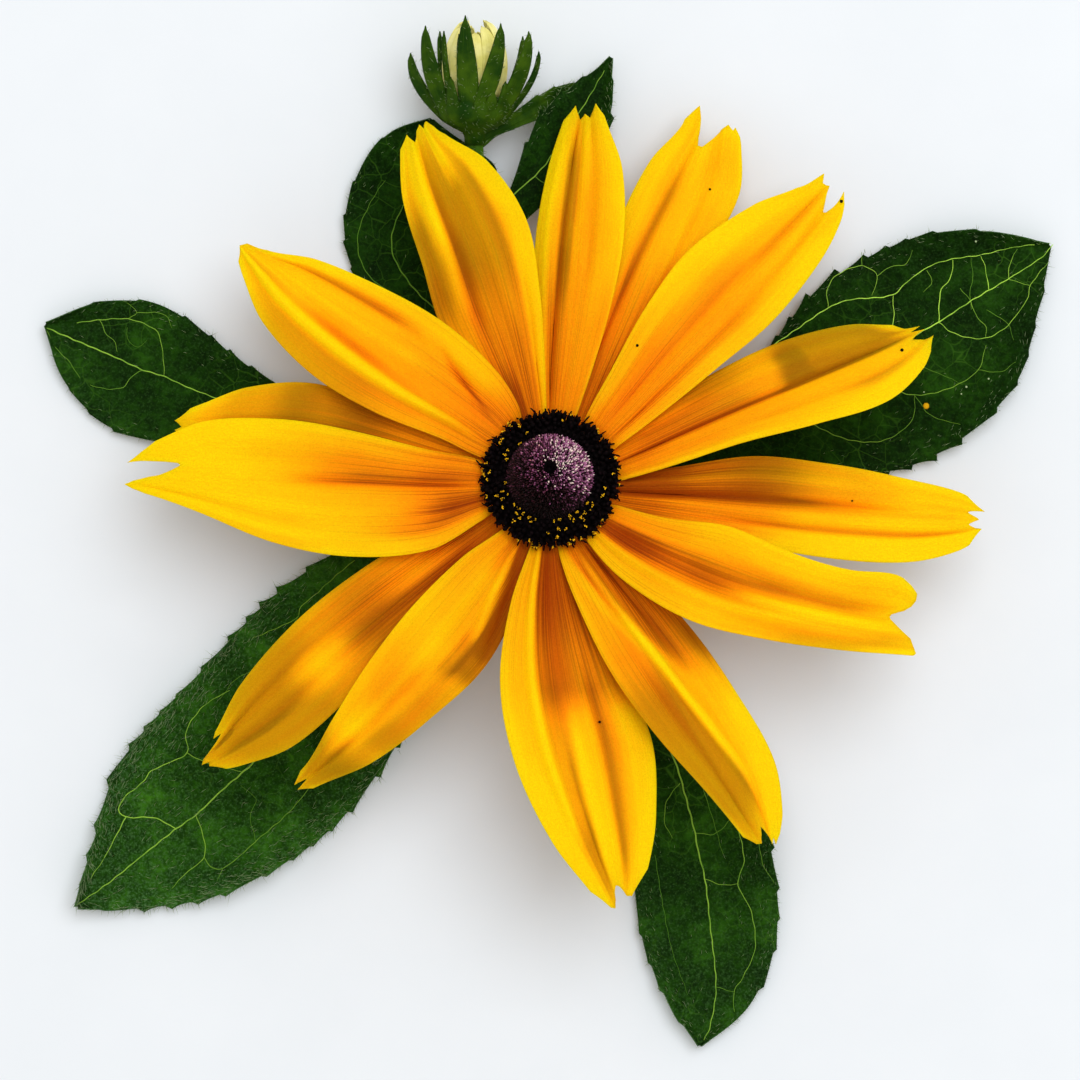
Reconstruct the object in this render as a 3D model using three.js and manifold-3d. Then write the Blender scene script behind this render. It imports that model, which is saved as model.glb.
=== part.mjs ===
// Black-eyed Susan: one cut bloom, face up, with the leaves of its short stem and a side bud.
// Millimetres, +Z up. The leaves lie on a level surface. X and Y are measured from the head's axis,
// and the finished flower is then centred over the origin.
import * as THREE from 'three';
import Module from 'manifold-3d';

const wasm = await Module();
wasm.setup();

// ---------------------------------------------------------------- driving dimensions
const HEAD_HEIGHT = 15; // the rays' plane above the surface, at the head's axis
const HEAD_TILT = 12; // degrees that the head's axis leans towards +Y

const DOME_RADIUS = 4.2; // unopened florets, without their tips
const DOME_FOOT = 0.95; // underside, above the rays' plane
const DOME_HEIGHT = 7.1; // top of the dome above its foot
const DOME_SPIRALS = 20; // florets round the dome, smaller in each row up
const DOME_ROWS = 12;
const DOME_TIP = 0.36; // height of a floret over its width
const DOME_PIT = 0.45; // depth of the pit of youngest florets at the top
const ROW_PITCH = 0.87; // row spacing over floret width in a honeycomb

const RING_INNER = 5.05; // open florets: the ring they stand on
const RING_OUTER = 6.5;
const RING_FOOT = 0.95;
const RING_TOP = 2.2;
const RING_SHOULDER = 0.35; // height of its outer wall
const RING_SPIRALS = 30;
const RING_ROWS = 3;
const RING_TIP = 1.35; // length of an open floret
const RING_ARC = [20, 140]; // degrees of its rounded top that the florets cover, from outside in

const RAY_THICKNESS = 0.66;
const RAY_ROOT_RADIUS = 4.95; // where a ray's claw starts, under the open florets
const RAY_CLAW = 0.85; // half width of the claw
const RAY_LEVEL = 0.9; // height of the top layer above the plane, and of the bottom layer below it
const RAY_ROLL = 0.27; // sideways slope of a ray between the layers
const RAY_PLEAT = 0.28; // depth of the two lengthwise grooves
const RAY_ARCH = 1.4; // rise of the spine between its ends
const RAY_OPENS = [0.04, 0.12]; // share of the length in which the claw widens and takes its layer
const RAY_ROWS = 10;
const RAY_COLUMNS = 8;
const RAY_STATIONS = [0, 0.07, 0.2, 0.4, 0.6, 0.8, 0.93, 1];

// Rays, anticlockwise from +X. azimuth: direction of the claw, in degrees. tip: its end, from the axis.
// bow: sideways curve of the spine. left, right: half widths at 0.2, 0.4, 0.6, 0.8 and 0.93 of the
// length. end: half width at the tip. notch: depth of the cut in the tip. layer: 1 lies over both
// neighbours, -1 under both, 0 over the clockwise one alone. lift: height of the tip off the plane.
// fold: slope of the two halves, up from the middle. turn: left and right margins turned down.
const RAYS = [
  { name: 'ray_01', azimuth: 13, tip: [42.3, 17.8], bow: -0.5, left: [2.6, 4.7, 5.4, 4.3, 2.0],
    right: [3.0, 3.9, 4.9, 5.2, 3.3], end: 1.2, notch: 1.3, layer: 0, lift: -1, fold: 0.1, turn: [0, 0] },
  { name: 'ray_02', azimuth: 38, tip: [31.5, 34.4], bow: 0.3, left: [3.6, 5.6, 6.3, 4.8, 2.9],
    right: [3.4, 4.9, 6.0, 5.4, 3.7], end: 2.1, notch: 2.6, layer: 1, lift: 0, fold: 0.05, turn: [0, 0] },
  { name: 'ray_03', azimuth: 61, tip: [18.2, 43.2], bow: -0.5, left: [3.0, 4.2, 4.9, 4.6, 3.4],
    right: [3.0, 4.2, 5.0, 5.6, 4.0], end: 2.7, notch: 4.4, layer: -1, lift: -0.5, fold: 0, turn: [0, 0] },
  { name: 'ray_04', azimuth: 83, tip: [4.0, 43.4], bow: -0.8, left: [3.2, 4.2, 4.6, 3.8, 2.6],
    right: [3.1, 4.5, 5.4, 5.1, 3.4], end: 1.6, notch: 1.4, layer: 0, lift: 0.5, fold: 0, turn: [0, 0] },
  { name: 'ray_05', azimuth: 108, tip: [-14.8, 41.2], bow: -1.5, left: [4.2, 6.2, 5.8, 5.1, 3.3],
    right: [3.3, 5.3, 6.6, 5.4, 2.8], end: 1.7, notch: 1.3, layer: 0, lift: 2, fold: 0, turn: [0, 0.5] },
  { name: 'ray_06', azimuth: 136, tip: [-34.3, 26.7], bow: 1.3, left: [3.8, 5.9, 6.6, 5.4, 2.8],
    right: [5.0, 6.9, 5.9, 3.9, 1.7], end: 1.0, notch: 0.8, layer: 1, lift: 1.5, fold: 0.06, turn: [0, 0] },
  { name: 'ray_07', azimuth: 162, tip: [-41.7, 6.6], bow: 0.5, left: [2.6, 4.2, 5.0, 4.0, 2.0],
    right: [2.8, 5.3, 6.8, 5.4, 2.7], end: 1.1, notch: 1.0, layer: -1, lift: 1, fold: 0, turn: [0, 0] },
  { name: 'ray_08', azimuth: 187, tip: [-46.9, 0.9], bow: 1.2, left: [5.2, 7.7, 7.2, 4.3, 2.3],
    right: [3.1, 5.6, 7.0, 6.4, 3.8], end: 1.9, notch: 5.2, layer: 1, lift: 0, fold: 0, turn: [0, 0] },
  { name: 'ray_09', azimuth: 215, tip: [-38.4, -30.9], bow: -0.8, left: [3.4, 4.5, 5.3, 5.3, 3.0],
    right: [3.6, 4.9, 5.0, 3.7, 1.6], end: 1.0, notch: 0.8, layer: -1, lift: -3.6, fold: 0, turn: [0, 0] },
  { name: 'ray_10', azimuth: 244, tip: [-28.0, -33.6], bow: 3.5, left: [3.8, 5.3, 4.6, 3.5, 1.7],
    right: [3.2, 4.8, 4.4, 2.8, 1.2], end: 0.9, notch: 0.9, layer: 0, lift: -3.2, fold: 0, turn: [0, 0] },
  { name: 'ray_11', azimuth: 269, tip: [7.7, -46.7], bow: -3.8, left: [3.9, 6.6, 7.8, 6.3, 3.3],
    right: [3.6, 6.7, 6.8, 5.0, 2.8], end: 1.6, notch: 1.5, layer: 0, lift: -4.5, fold: 0, turn: [0, 0.8] },
  { name: 'ray_12', azimuth: 293, tip: [23.9, -40.2], bow: 1.0, left: [3.4, 5.0, 5.5, 5.0, 3.1],
    right: [3.2, 5.1, 4.7, 3.0, 1.9], end: 1.4, notch: 1.3, layer: 0, lift: -5, fold: -0.1, turn: [0, 0] },
  { name: 'ray_13', azimuth: 321, tip: [40.5, -15.2], bow: -5.7, left: [3.4, 5.3, 4.9, 4.6, 4.4],
    right: [3.4, 5.2, 4.7, 4.3, 4.0], end: 3.4, notch: 3.0, layer: 1, lift: -4, fold: 0.3, turn: [0, 0] },
  { name: 'ray_14', azimuth: 350, tip: [48.2, -4.1], bow: -1.2, left: [3.4, 5.4, 5.2, 4.0, 2.8],
    right: [3.0, 4.3, 5.3, 5.0, 3.5], end: 1.6, notch: 1.3, layer: -1, lift: -2, fold: 0, turn: [0, 0] },
];

const RIM_TOP = -0.72; // the involucre's rim, which the claws lie on
const RIM_RADIUS = 5.7;
const BOSS = { radius: 4.5, top: 0.6 }; // the receptacle, which carries ring and dome
const CUP_DEPTH = 5.4; // from the rays' plane down to the stem
const BRACTS = 13;
const BRACT = {
  start: 3.2, height: -2.35, length: 12.5, short: 0.78, half: 1.35, thickness: 0.64, drop: 3.4,
};

const STEM_RADIUS = 1.55;
const STEM_FOOT = [0, -3.0]; // where the cut end stands
const CLEARANCE = 0.32; // between pieces that touch

const LEAF_THICKNESS = 0.66;
const LEAF_COLUMNS = 6;
const LEAF_FLAT = 0.4; // share of a leaf's width, along the midrib, that lies flat
const LEAF_STATIONS = [0, 0.06, 0.2, 0.4, 0.6, 0.8, 0.92, 1];
const PETIOLE_FOOT = 0.8; // half width of a leaf where it leaves its stem
const PETIOLE = 1.0; // and a little further out
const LEAF_POINT = 0.35; // half width at the very tip
const LEAF_TOOTH = 0.45; // reach of a marginal tooth

// Leaves. at: share of the stem or stalk at which the leaf leaves it. tip: end of the midrib, from the
// axis. bow: sideways curve. left, right: half widths at 0.2, 0.4, 0.6, 0.8 and 0.92 of the length.
// land: share of the length at which it meets the surface. curl: height of the tip. keel: slope of the
// halves up from the midrib. wave: height and count of the margin's waves. teeth: a side.
const STEM_LEAVES = [
  { name: 'leaf_right', at: 0.24, tip: [56.4, 26.9], bow: -5, left: [2.2, 5.6, 10.4, 9.7, 5.6],
    right: [2.6, 7.6, 12.4, 10.8, 4.9], land: 0.3, curl: 1.2, keel: 0.1, wave: [0.8, 2.5],
    teeth: 11 },
  { name: 'leaf_left', at: 0.34, tip: [-56.9, 18.0], bow: 2.9, left: [1.5, 3.1, 5.2, 7.6, 5.0],
    right: [1.4, 2.8, 4.7, 7.4, 5.0], land: 0.3, curl: 1.0, keel: 0.1, wave: [0.5, 2], teeth: 9 },
  { name: 'leaf_lower', at: 0.16, tip: [-53.3, -47.7], bow: 2, left: [3.6, 7.8, 10.8, 8.7, 4.4],
    right: [4.6, 9.8, 11.7, 9.8, 4.7], land: 0.25, curl: 1.6, keel: 0.1, wave: [1.1, 3],
    teeth: 12 },
  { name: 'leaf_bottom', at: 0.42, tip: [16.9, -63.4], bow: 12, left: [3.0, 6.0, 7.9, 8.2, 4.8],
    right: [2.8, 5.8, 7.4, 6.8, 3.4], land: 0.35, curl: 0.8, keel: 0.13, wave: [0.6, 2], teeth: 9 },
];
// Leaves of the bud's stalk.
const STALK_LEAVES = [
  { name: 'stalk_leaf_outer', at: 0.36, tip: [-13.3, 41.2], bow: 10.5, left: [2.8, 6.8, 8.0, 6.3, 3.9],
    right: [2.2, 4.4, 5.5, 5.0, 2.8], land: 0.35, curl: 0.2, keel: 0.1, wave: [0.4, 1.5], teeth: 6 },
  { name: 'stalk_leaf_inner', at: 0.7, tip: [6.8, 47.3], bow: 0, left: [1.6, 2.6, 3.3, 2.2, 1.0],
    right: [1.8, 3.4, 4.4, 3.3, 1.8], land: 1.6, curl: 0.8, keel: 0.25, wave: [0.2, 1], teeth: 4 },
  { name: 'bud_leaflet', at: 0.9, tip: [3.3, 44.9], bow: 1.2,
    left: [0.9, 1.3, 1.5, 1.2, 0.7], right: [0.8, 1.2, 1.3, 1.0, 0.6], land: 0.75, curl: 0,
    keel: 0.35, wave: [0, 1], teeth: 3 },
];

const BUD_BASE = [-8.4, 39.0, 6.9]; // where the bud's cup joins its stalk
const BUD_RISE = 6; // degrees that the bud points up from level
const BUD_STALK_RADIUS = 0.95;
const BUD_CUP_RADIUS = 4.5;
const BUD_CUP_HEIGHT = 4.2;
const BUD_BRACTS = 12;
const BUD_BRACT = { start: 3.7, height: 2.2, length: 8.8, half: 1.45, thickness: 0.62, spread: 3.1 };
const BUD_INNER = { start: 3.4, length: 9.7, spread: 1.8 }; // every second bract stands further in
const BUD_UNEVEN = 0.14; // how far their lengths differ
const BUD_RAYS = 9;
const BUD_RAY = { length: 7.6, half: 0.95, thickness: 0.6, radius: 2.5, curl: 1.3 };
const BUD_COLLAR = [1.9, 2.9]; // radii of the ring that the young rays stand on
const BUD_DISC = { radius: 1.5, height: 3 };

// ---------------------------------------------------------------- colours
const COLOURS = {
  ray: { color: 0xf5a80a, roughness: 0.55 },
  dome: { color: 0x4a2236, roughness: 0.75 },
  ring: { color: 0x140c10, roughness: 0.7 },
  leaf: { color: 0x1f4a22, roughness: 0.6 },
  stem: { color: 0x3f6b2e, roughness: 0.6 },
  involucre: { color: 0x345f2b, roughness: 0.65 },
  budRay: { color: 0xe3e08a, roughness: 0.6 },
  budDisc: { color: 0x55622a, roughness: 0.7 },
};

// ---------------------------------------------------------------- helpers
const radians = THREE.MathUtils.degToRad;

function polar(radius, azimuth) {
  return new THREE.Vector2(radius * Math.cos(azimuth), radius * Math.sin(azimuth));
}

function ease(from, to, x) {
  return THREE.MathUtils.smoothstep(x, from, to);
}

/** Value at x of the smooth curve through (xs, ys). */
function through(xs, ys, x) {
  let i = 0;
  while (i < xs.length - 2 && x > xs[i + 1]) {
    i += 1;
  }
  const slope = (k) => {
    const before = Math.max(0, k - 1);
    const after = Math.min(xs.length - 1, k + 1);
    return (ys[after] - ys[before]) / (xs[after] - xs[before]);
  };
  const span = xs[i + 1] - xs[i];
  const t = (x - xs[i]) / span;
  const start = ys[i] * (2 * t ** 3 - 3 * t ** 2 + 1) + slope(i) * span * (t ** 3 - 2 * t ** 2 + t);
  const end = ys[i + 1] * (3 * t ** 2 - 2 * t ** 3) + slope(i + 1) * span * (t ** 3 - t ** 2);
  return start + end;
}

/** Closed mesh from a list of points and triangles that share them. */
function closedGeometry(points, triangles) {
  const geometry = new THREE.BufferGeometry();
  const positions = points.flatMap((point) => [point.x, point.y, point.z]);
  geometry.setAttribute('position', new THREE.Float32BufferAttribute(positions, 3));
  geometry.setIndex(triangles.flat());
  return geometry;
}

/**
 * A thin blade. middle(s, v) is its middle surface, for s from root to tip and v from -1, the right
 * margin, to 1, the left one. Both faces are split alike. No point goes below the floor.
 */
function bladeGeometry(middle, rows, columns, thickness, floor = -Infinity) {
  const step = 1e-3;
  const points = [];
  const triangles = [];
  for (let i = 0; i <= rows; i += 1) {
    for (let j = 0; j <= columns; j += 1) {
      const s = i / rows;
      const v = (2 * j) / columns - 1;
      const along = middle(s + step, v).sub(middle(s - step, v));
      const across = middle(s, v + step).sub(middle(s, v - step));
      const offset = along.cross(across).setLength(thickness / 2);
      const top = middle(s, v).add(offset);
      const bottom = middle(s, v).sub(offset);
      bottom.z = Math.max(bottom.z, floor);
      top.z = Math.max(top.z, floor + thickness);
      points.push(top, bottom);
    }
  }
  const top = (i, j) => 2 * (i * (columns + 1) + j);
  const bottom = (i, j) => top(i, j) + 1;
  for (let i = 0; i < rows; i += 1) {
    for (let j = 0; j < columns; j += 1) {
      triangles.push([top(i, j), top(i + 1, j), top(i + 1, j + 1)]);
      triangles.push([top(i, j), top(i + 1, j + 1), top(i, j + 1)]);
      triangles.push([bottom(i, j), bottom(i + 1, j + 1), bottom(i + 1, j)]);
      triangles.push([bottom(i, j), bottom(i, j + 1), bottom(i + 1, j + 1)]);
    }
    triangles.push([top(i, 0), bottom(i, 0), bottom(i + 1, 0)]);
    triangles.push([top(i, 0), bottom(i + 1, 0), top(i + 1, 0)]);
    triangles.push([top(i, columns), bottom(i + 1, columns), bottom(i, columns)]);
    triangles.push([top(i, columns), top(i + 1, columns), bottom(i + 1, columns)]);
  }
  for (let j = 0; j < columns; j += 1) {
    triangles.push([top(0, j), top(0, j + 1), bottom(0, j + 1)]);
    triangles.push([top(0, j), bottom(0, j + 1), bottom(0, j)]);
    triangles.push([top(rows, j), bottom(rows, j + 1), top(rows, j + 1)]);
    triangles.push([top(rows, j), bottom(rows, j), bottom(rows, j + 1)]);
  }
  return closedGeometry(points, triangles);
}

/** A solid of revolution about Z. The profile is [radius, z] pairs from the axis back to the axis. */
function turnedGeometry(profile, sides) {
  const points = [];
  const triangles = [];
  const rings = profile.map(([radius, z]) => {
    if (radius === 0) {
      points.push(new THREE.Vector3(0, 0, z));
      return new Array(sides).fill(points.length - 1);
    }
    const ring = [];
    for (let k = 0; k < sides; k += 1) {
      const side = polar(radius, (2 * Math.PI * k) / sides);
      points.push(new THREE.Vector3(side.x, side.y, z));
      ring.push(points.length - 1);
    }
    return ring;
  });
  for (let i = 0; i < rings.length - 1; i += 1) {
    for (let k = 0; k < sides; k += 1) {
      const next = (k + 1) % sides;
      const [a, b, c, d] = [rings[i][k], rings[i][next], rings[i + 1][next], rings[i + 1][k]];
      if (a !== b) {
        triangles.push([a, b, c]);
      }
      if (c !== d) {
        triangles.push([a, c, d]);
      }
    }
  }
  return closedGeometry(points, triangles);
}

/** A round ring about Z, from a closed [radius, z] profile that runs anticlockwise. */
function ringGeometry(profile, sides) {
  const points = [];
  const triangles = [];
  for (let k = 0; k < sides; k += 1) {
    for (const [radius, z] of profile) {
      const side = polar(radius, (2 * Math.PI * k) / sides);
      points.push(new THREE.Vector3(side.x, side.y, z));
    }
  }
  const count = profile.length;
  const at = (k, i) => (k % sides) * count + (i % count);
  for (let k = 0; k < sides; k += 1) {
    for (let i = 0; i < count; i += 1) {
      triangles.push([at(k, i), at(k + 1, i), at(k + 1, i + 1)]);
      triangles.push([at(k, i), at(k + 1, i + 1), at(k, i + 1)]);
    }
  }
  return closedGeometry(points, triangles);
}

/**
 * Rows of pointed florets, packed like a honeycomb on a surface of revolution. surface(t) gives radius,
 * height and the florets' lean out from the axis, for t from the first row, 0, to the last, 1. tip(t) is
 * a floret's length. opening and closing are [radius, z] pairs that close the solid before and after.
 */
function studdedGeometry(surface, tip, rows, spirals, opening, closing) {
  const points = [];
  const triangles = [];
  const corners = 2 * spirals;
  const addPoint = (radius, z, half) => {
    const side = polar(radius, (Math.PI * half) / spirals);
    points.push(new THREE.Vector3(side.x, side.y, z));
    return points.length - 1;
  };
  const addRing = ([radius, z]) => {
    if (radius === 0) {
      return new Array(corners).fill(addPoint(0, z, 0));
    }
    return Array.from({ length: corners }, (_, half) => addPoint(radius, z, half));
  };
  const addZigzag = (row) => Array.from({ length: corners }, (_, half) => {
    const up = (half + row) % 2 === 0 ? 2 / 3 : 1 / 3;
    const { radius, z } = surface((row + up) / rows);
    return addPoint(radius, z, half);
  });
  const join = (low, high) => {
    for (let k = 0; k < corners; k += 1) {
      const next = (k + 1) % corners;
      if (low[k] !== low[next]) {
        triangles.push([low[k], low[next], high[next]]);
      }
      if (high[k] !== high[next]) {
        triangles.push([low[k], high[next], high[k]]);
      }
    }
  };
  const zigzags = Array.from({ length: rows + 1 }, (_, row) => addZigzag(row - 1));
  for (let row = 0; row < rows; row += 1) {
    const { radius, z, lean } = surface(row / rows);
    const length = tip(row / rows);
    const low = zigzags[row];
    const high = zigzags[row + 1];
    for (let half = row % 2; half < corners; half += 2) {
      const before = (half + corners - 1) % corners;
      const after = (half + 1) % corners;
      const apex = addPoint(radius + length * Math.sin(lean), z + length * Math.cos(lean), half);
      const around = [low[before], low[half], low[after], high[after], high[half], high[before]];
      around.forEach((corner, k) => triangles.push([corner, around[(k + 1) % 6], apex]));
    }
  }
  const before = opening.map(addRing);
  const after = closing.map(addRing);
  const rings = [...before, zigzags[0]];
  rings.slice(1).forEach((ring, k) => join(rings[k], ring));
  const ends = [zigzags[rows], ...after];
  ends.slice(1).forEach((ring, k) => join(ends[k], ring));
  if (before.length > 0 && before[0][0] !== before[0][1]) {
    join(after[after.length - 1], before[0]);
  }
  return closedGeometry(points, triangles);
}

/** A round tube along a curve, closed at both ends. */
function tubeGeometry(curve, radiusAt, rows, sides) {
  const points = [];
  const triangles = [];
  const frames = curve.computeFrenetFrames(rows, false);
  for (let i = 0; i <= rows; i += 1) {
    const centre = curve.getPointAt(i / rows);
    for (let k = 0; k < sides; k += 1) {
      const side = polar(radiusAt(i / rows), (2 * Math.PI * k) / sides);
      points.push(centre.clone().addScaledVector(frames.normals[i], side.x)
        .addScaledVector(frames.binormals[i], side.y));
    }
  }
  points.push(curve.getPointAt(0), curve.getPointAt(1));
  const foot = points.length - 2;
  const head = points.length - 1;
  const at = (i, k) => i * sides + (k % sides);
  for (let k = 0; k < sides; k += 1) {
    triangles.push([foot, at(0, k + 1), at(0, k)]);
    triangles.push([head, at(rows, k), at(rows, k + 1)]);
    for (let i = 0; i < rows; i += 1) {
      triangles.push([at(i, k), at(i, k + 1), at(i + 1, k + 1)]);
      triangles.push([at(i, k), at(i + 1, k + 1), at(i + 1, k)]);
    }
  }
  return closedGeometry(points, triangles);
}

/** One solid out of several that overlap. */
function fuse(geometries) {
  const solids = geometries.map((geometry) => new wasm.Manifold(new wasm.Mesh({
    numProp: 3,
    vertProperties: new Float32Array(geometry.getAttribute('position').array),
    triVerts: new Uint32Array(geometry.getIndex().array),
  })));
  const mesh = wasm.Manifold.union(solids).getMesh();
  const geometry = new THREE.BufferGeometry();
  geometry.setAttribute('position', new THREE.BufferAttribute(new Float32Array(mesh.vertProperties), 3));
  geometry.setIndex(new THREE.BufferAttribute(new Uint32Array(mesh.triVerts), 1));
  return geometry;
}

function namedMesh(name, geometry, finish) {
  geometry.computeVertexNormals();
  const material = new THREE.MeshStandardMaterial({ ...finish, metalness: 0 });
  const mesh = new THREE.Mesh(geometry, material);
  mesh.name = name;
  return mesh;
}

/** The flat spine of a blade: point and left-hand side at s. */
function spineOf(root, tip, bow) {
  const chord = tip.clone().sub(root);
  const side = new THREE.Vector2(-chord.y, chord.x).normalize();
  const control = root.clone().add(tip).multiplyScalar(0.5).addScaledVector(side, bow);
  return (s) => {
    const point = root.clone().multiplyScalar((1 - s) ** 2)
      .addScaledVector(control, 2 * s * (1 - s)).addScaledVector(tip, s ** 2);
    const ahead = control.clone().sub(root).multiplyScalar(1 - s)
      .add(tip.clone().sub(control).multiplyScalar(s)).normalize();
    return { point, side: new THREE.Vector2(-ahead.y, ahead.x) };
  };
}

// ---------------------------------------------------------------- ray florets
function rayMiddle(ray) {
  const root = polar(RAY_ROOT_RADIUS, radians(ray.azimuth));
  const tip = new THREE.Vector2(...ray.tip);
  const spine = spineOf(root, tip, ray.bow);
  const length = tip.distanceTo(root);
  const left = [RAY_CLAW, RAY_CLAW * 1.2, ...ray.left, ray.end];
  const right = [RAY_CLAW, RAY_CLAW * 1.2, ...ray.right, ray.end];
  return (s, v) => {
    const setback = ray.notch * (0.5 + 0.5 * Math.cos(2 * Math.PI * v));
    const reach = s * (1 - setback / length);
    const { point, side } = spine(reach);
    const half = through(RAY_STATIONS, v > 0 ? left : right, reach);
    const across = v * half;
    const opened = ease(...RAY_OPENS, reach);
    const roll = ray.layer === 0 ? -RAY_ROLL : 0;
    const margin = Math.max(0, Math.abs(v) - 0.6) * half * (v > 0 ? ray.turn[0] : ray.turn[1]);
    const pleat = RAY_PLEAT * Math.cos(2 * Math.PI * v) * ease(0.1, 0.3, reach)
      * (1 - ease(0.7, 1.1, reach));
    const folded = ray.fold * Math.abs(across) * ease(0.1, 0.4, reach);
    const level = (ray.layer * RAY_LEVEL + RAY_ARCH * Math.sin(Math.PI * reach)) * opened;
    const z = level + ray.lift * reach ** 2 + roll * across * opened + pleat + folded
      - margin * ease(0.15, 0.4, reach);
    return new THREE.Vector3(point.x + side.x * across, point.y + side.y * across, z);
  };
}

function makeRays() {
  return RAYS.map((ray) => {
    const geometry = bladeGeometry(rayMiddle(ray), RAY_ROWS, RAY_COLUMNS, RAY_THICKNESS);
    return namedMesh(ray.name, geometry, COLOURS.ray);
  });
}

// ---------------------------------------------------------------- disc
function makeDome() {
  // Rows shrink towards the top in step with the girth.
  const angles = [0.06];
  for (let row = 0; row < DOME_ROWS + 1; row += 1) {
    const angle = angles[row];
    const girth = (2 * Math.PI * DOME_RADIUS * Math.cos(angle)) / DOME_SPIRALS;
    const pace = Math.hypot(DOME_RADIUS * Math.sin(angle), DOME_HEIGHT * Math.cos(angle));
    angles.push(angle + (ROW_PITCH * girth) / pace);
  }
  const angleAt = (t) => {
    const row = THREE.MathUtils.clamp(t * DOME_ROWS, 0, DOME_ROWS + 0.99);
    return THREE.MathUtils.lerp(angles[Math.floor(row)], angles[Math.floor(row) + 1], row % 1);
  };
  const surface = (t) => {
    const angle = angleAt(t);
    const radius = DOME_RADIUS * Math.cos(angle);
    const z = DOME_FOOT + DOME_HEIGHT * Math.sin(angle);
    return { radius, z, lean: Math.atan2(Math.cos(angle) / DOME_RADIUS, Math.sin(angle) / DOME_HEIGHT) };
  };
  const tip = (t) => DOME_TIP * 2 * Math.PI * surface(t).radius / DOME_SPIRALS + 0.05;
  const topZ = surface(1).z - DOME_PIT;
  const geometry = studdedGeometry(surface, tip, DOME_ROWS, DOME_SPIRALS,
    [[0, DOME_FOOT], [DOME_RADIUS - 0.1, DOME_FOOT]], [[0, topZ]]);
  return namedMesh('disc_dome', geometry, COLOURS.dome);
}

function makeRing() {
  const surface = (t) => {
    const angle = radians(THREE.MathUtils.lerp(...RING_ARC, t));
    const radius = (RING_OUTER - RING_INNER) / 2;
    const shoulder = RING_FOOT + RING_SHOULDER;
    return {
      radius: RING_INNER + radius * (1 + Math.cos(angle)),
      z: shoulder + (RING_TOP - shoulder) * Math.sin(angle),
      lean: Math.PI / 2 - 0.95 * angle,
    };
  };
  const geometry = studdedGeometry(surface, () => RING_TIP, RING_ROWS, RING_SPIRALS,
    [[RING_INNER, RING_FOOT], [RING_OUTER - 0.4, RING_FOOT]], [[RING_INNER, RING_TOP - 0.6]]);
  return namedMesh('disc_ring', geometry, COLOURS.ring);
}

// ---------------------------------------------------------------- involucre
/** A pointed bract that leaves the axis at an azimuth, on a spine of radius and height. */
function bractGeometry(azimuth, half, thickness, rows, spine) {
  const out = polar(1, azimuth);
  const side = new THREE.Vector2(-out.y, out.x);
  const middle = (s, v) => {
    const { radius, height } = spine(s);
    const width = half * (0.25 + 0.75 * Math.sin(Math.PI * Math.min(1, 0.3 + 0.7 * s)));
    const across = v * width * (s > 0.98 ? 0.35 : 1);
    return new THREE.Vector3(out.x * radius + side.x * across, out.y * radius + side.y * across,
      height + 0.25 * Math.abs(across));
  };
  return bladeGeometry(middle, rows, 2, thickness);
}

function makeInvolucre() {
  const cup = turnedGeometry([[0, -CUP_DEPTH], [STEM_RADIUS + 0.1, -CUP_DEPTH], [2.6, -CUP_DEPTH + 1.0],
    [4.6, -CUP_DEPTH + 2.4], [RIM_RADIUS, -1.9], [RIM_RADIUS, RIM_TOP], [BOSS.radius, RIM_TOP],
    [BOSS.radius, BOSS.top], [0, BOSS.top]], 24);
  const bracts = [];
  for (let k = 0; k < BRACTS; k += 1) {
    const share = k % 2 === 0 ? 1 : BRACT.short;
    const spine = (s) => ({
      radius: BRACT.start + s * BRACT.length * share,
      height: BRACT.height - BRACT.drop * s ** 2 * (1.6 - 0.6 * s),
    });
    bracts.push(bractGeometry((2 * Math.PI * k) / BRACTS, BRACT.half, BRACT.thickness, 6, spine));
  }
  return namedMesh('involucre', fuse([cup, ...bracts]), COLOURS.involucre);
}

// ---------------------------------------------------------------- stem and leaves
function tilted(x, y, z) {
  return new THREE.Vector3(x, y, z).applyAxisAngle(new THREE.Vector3(1, 0, 0), -radians(HEAD_TILT))
    .add(new THREE.Vector3(0, 0, HEAD_HEIGHT));
}

const stemCurve = new THREE.CubicBezierCurve3(
  new THREE.Vector3(...STEM_FOOT, 0),
  new THREE.Vector3(...STEM_FOOT, 3),
  tilted(0, 0, -CUP_DEPTH - 3),
  tilted(0, 0, -CUP_DEPTH - CLEARANCE),
);

function makeStem() {
  return namedMesh('stem', tubeGeometry(stemCurve, () => STEM_RADIUS, 6, 12), COLOURS.stem);
}

const stalkStart = new THREE.Vector3(-0.6, -0.22, 5.6);
const budBase = new THREE.Vector3(...BUD_BASE);
const budAxis = new THREE.Vector3(0, Math.cos(radians(BUD_RISE)), Math.sin(radians(BUD_RISE)));
const stalkCurve = new THREE.CubicBezierCurve3(
  stalkStart,
  new THREE.Vector3(-4.2, 11, 3.6),
  budBase.clone().addScaledVector(budAxis, -12),
  budBase.clone().addScaledVector(budAxis, -CLEARANCE),
);

function makeBudStalk() {
  const swelling = (s) => BUD_STALK_RADIUS * (1 + 0.25 * ease(0.9, 1, s));
  return namedMesh('bud_stalk', tubeGeometry(stalkCurve, swelling, 14, 8), COLOURS.stem);
}

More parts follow.
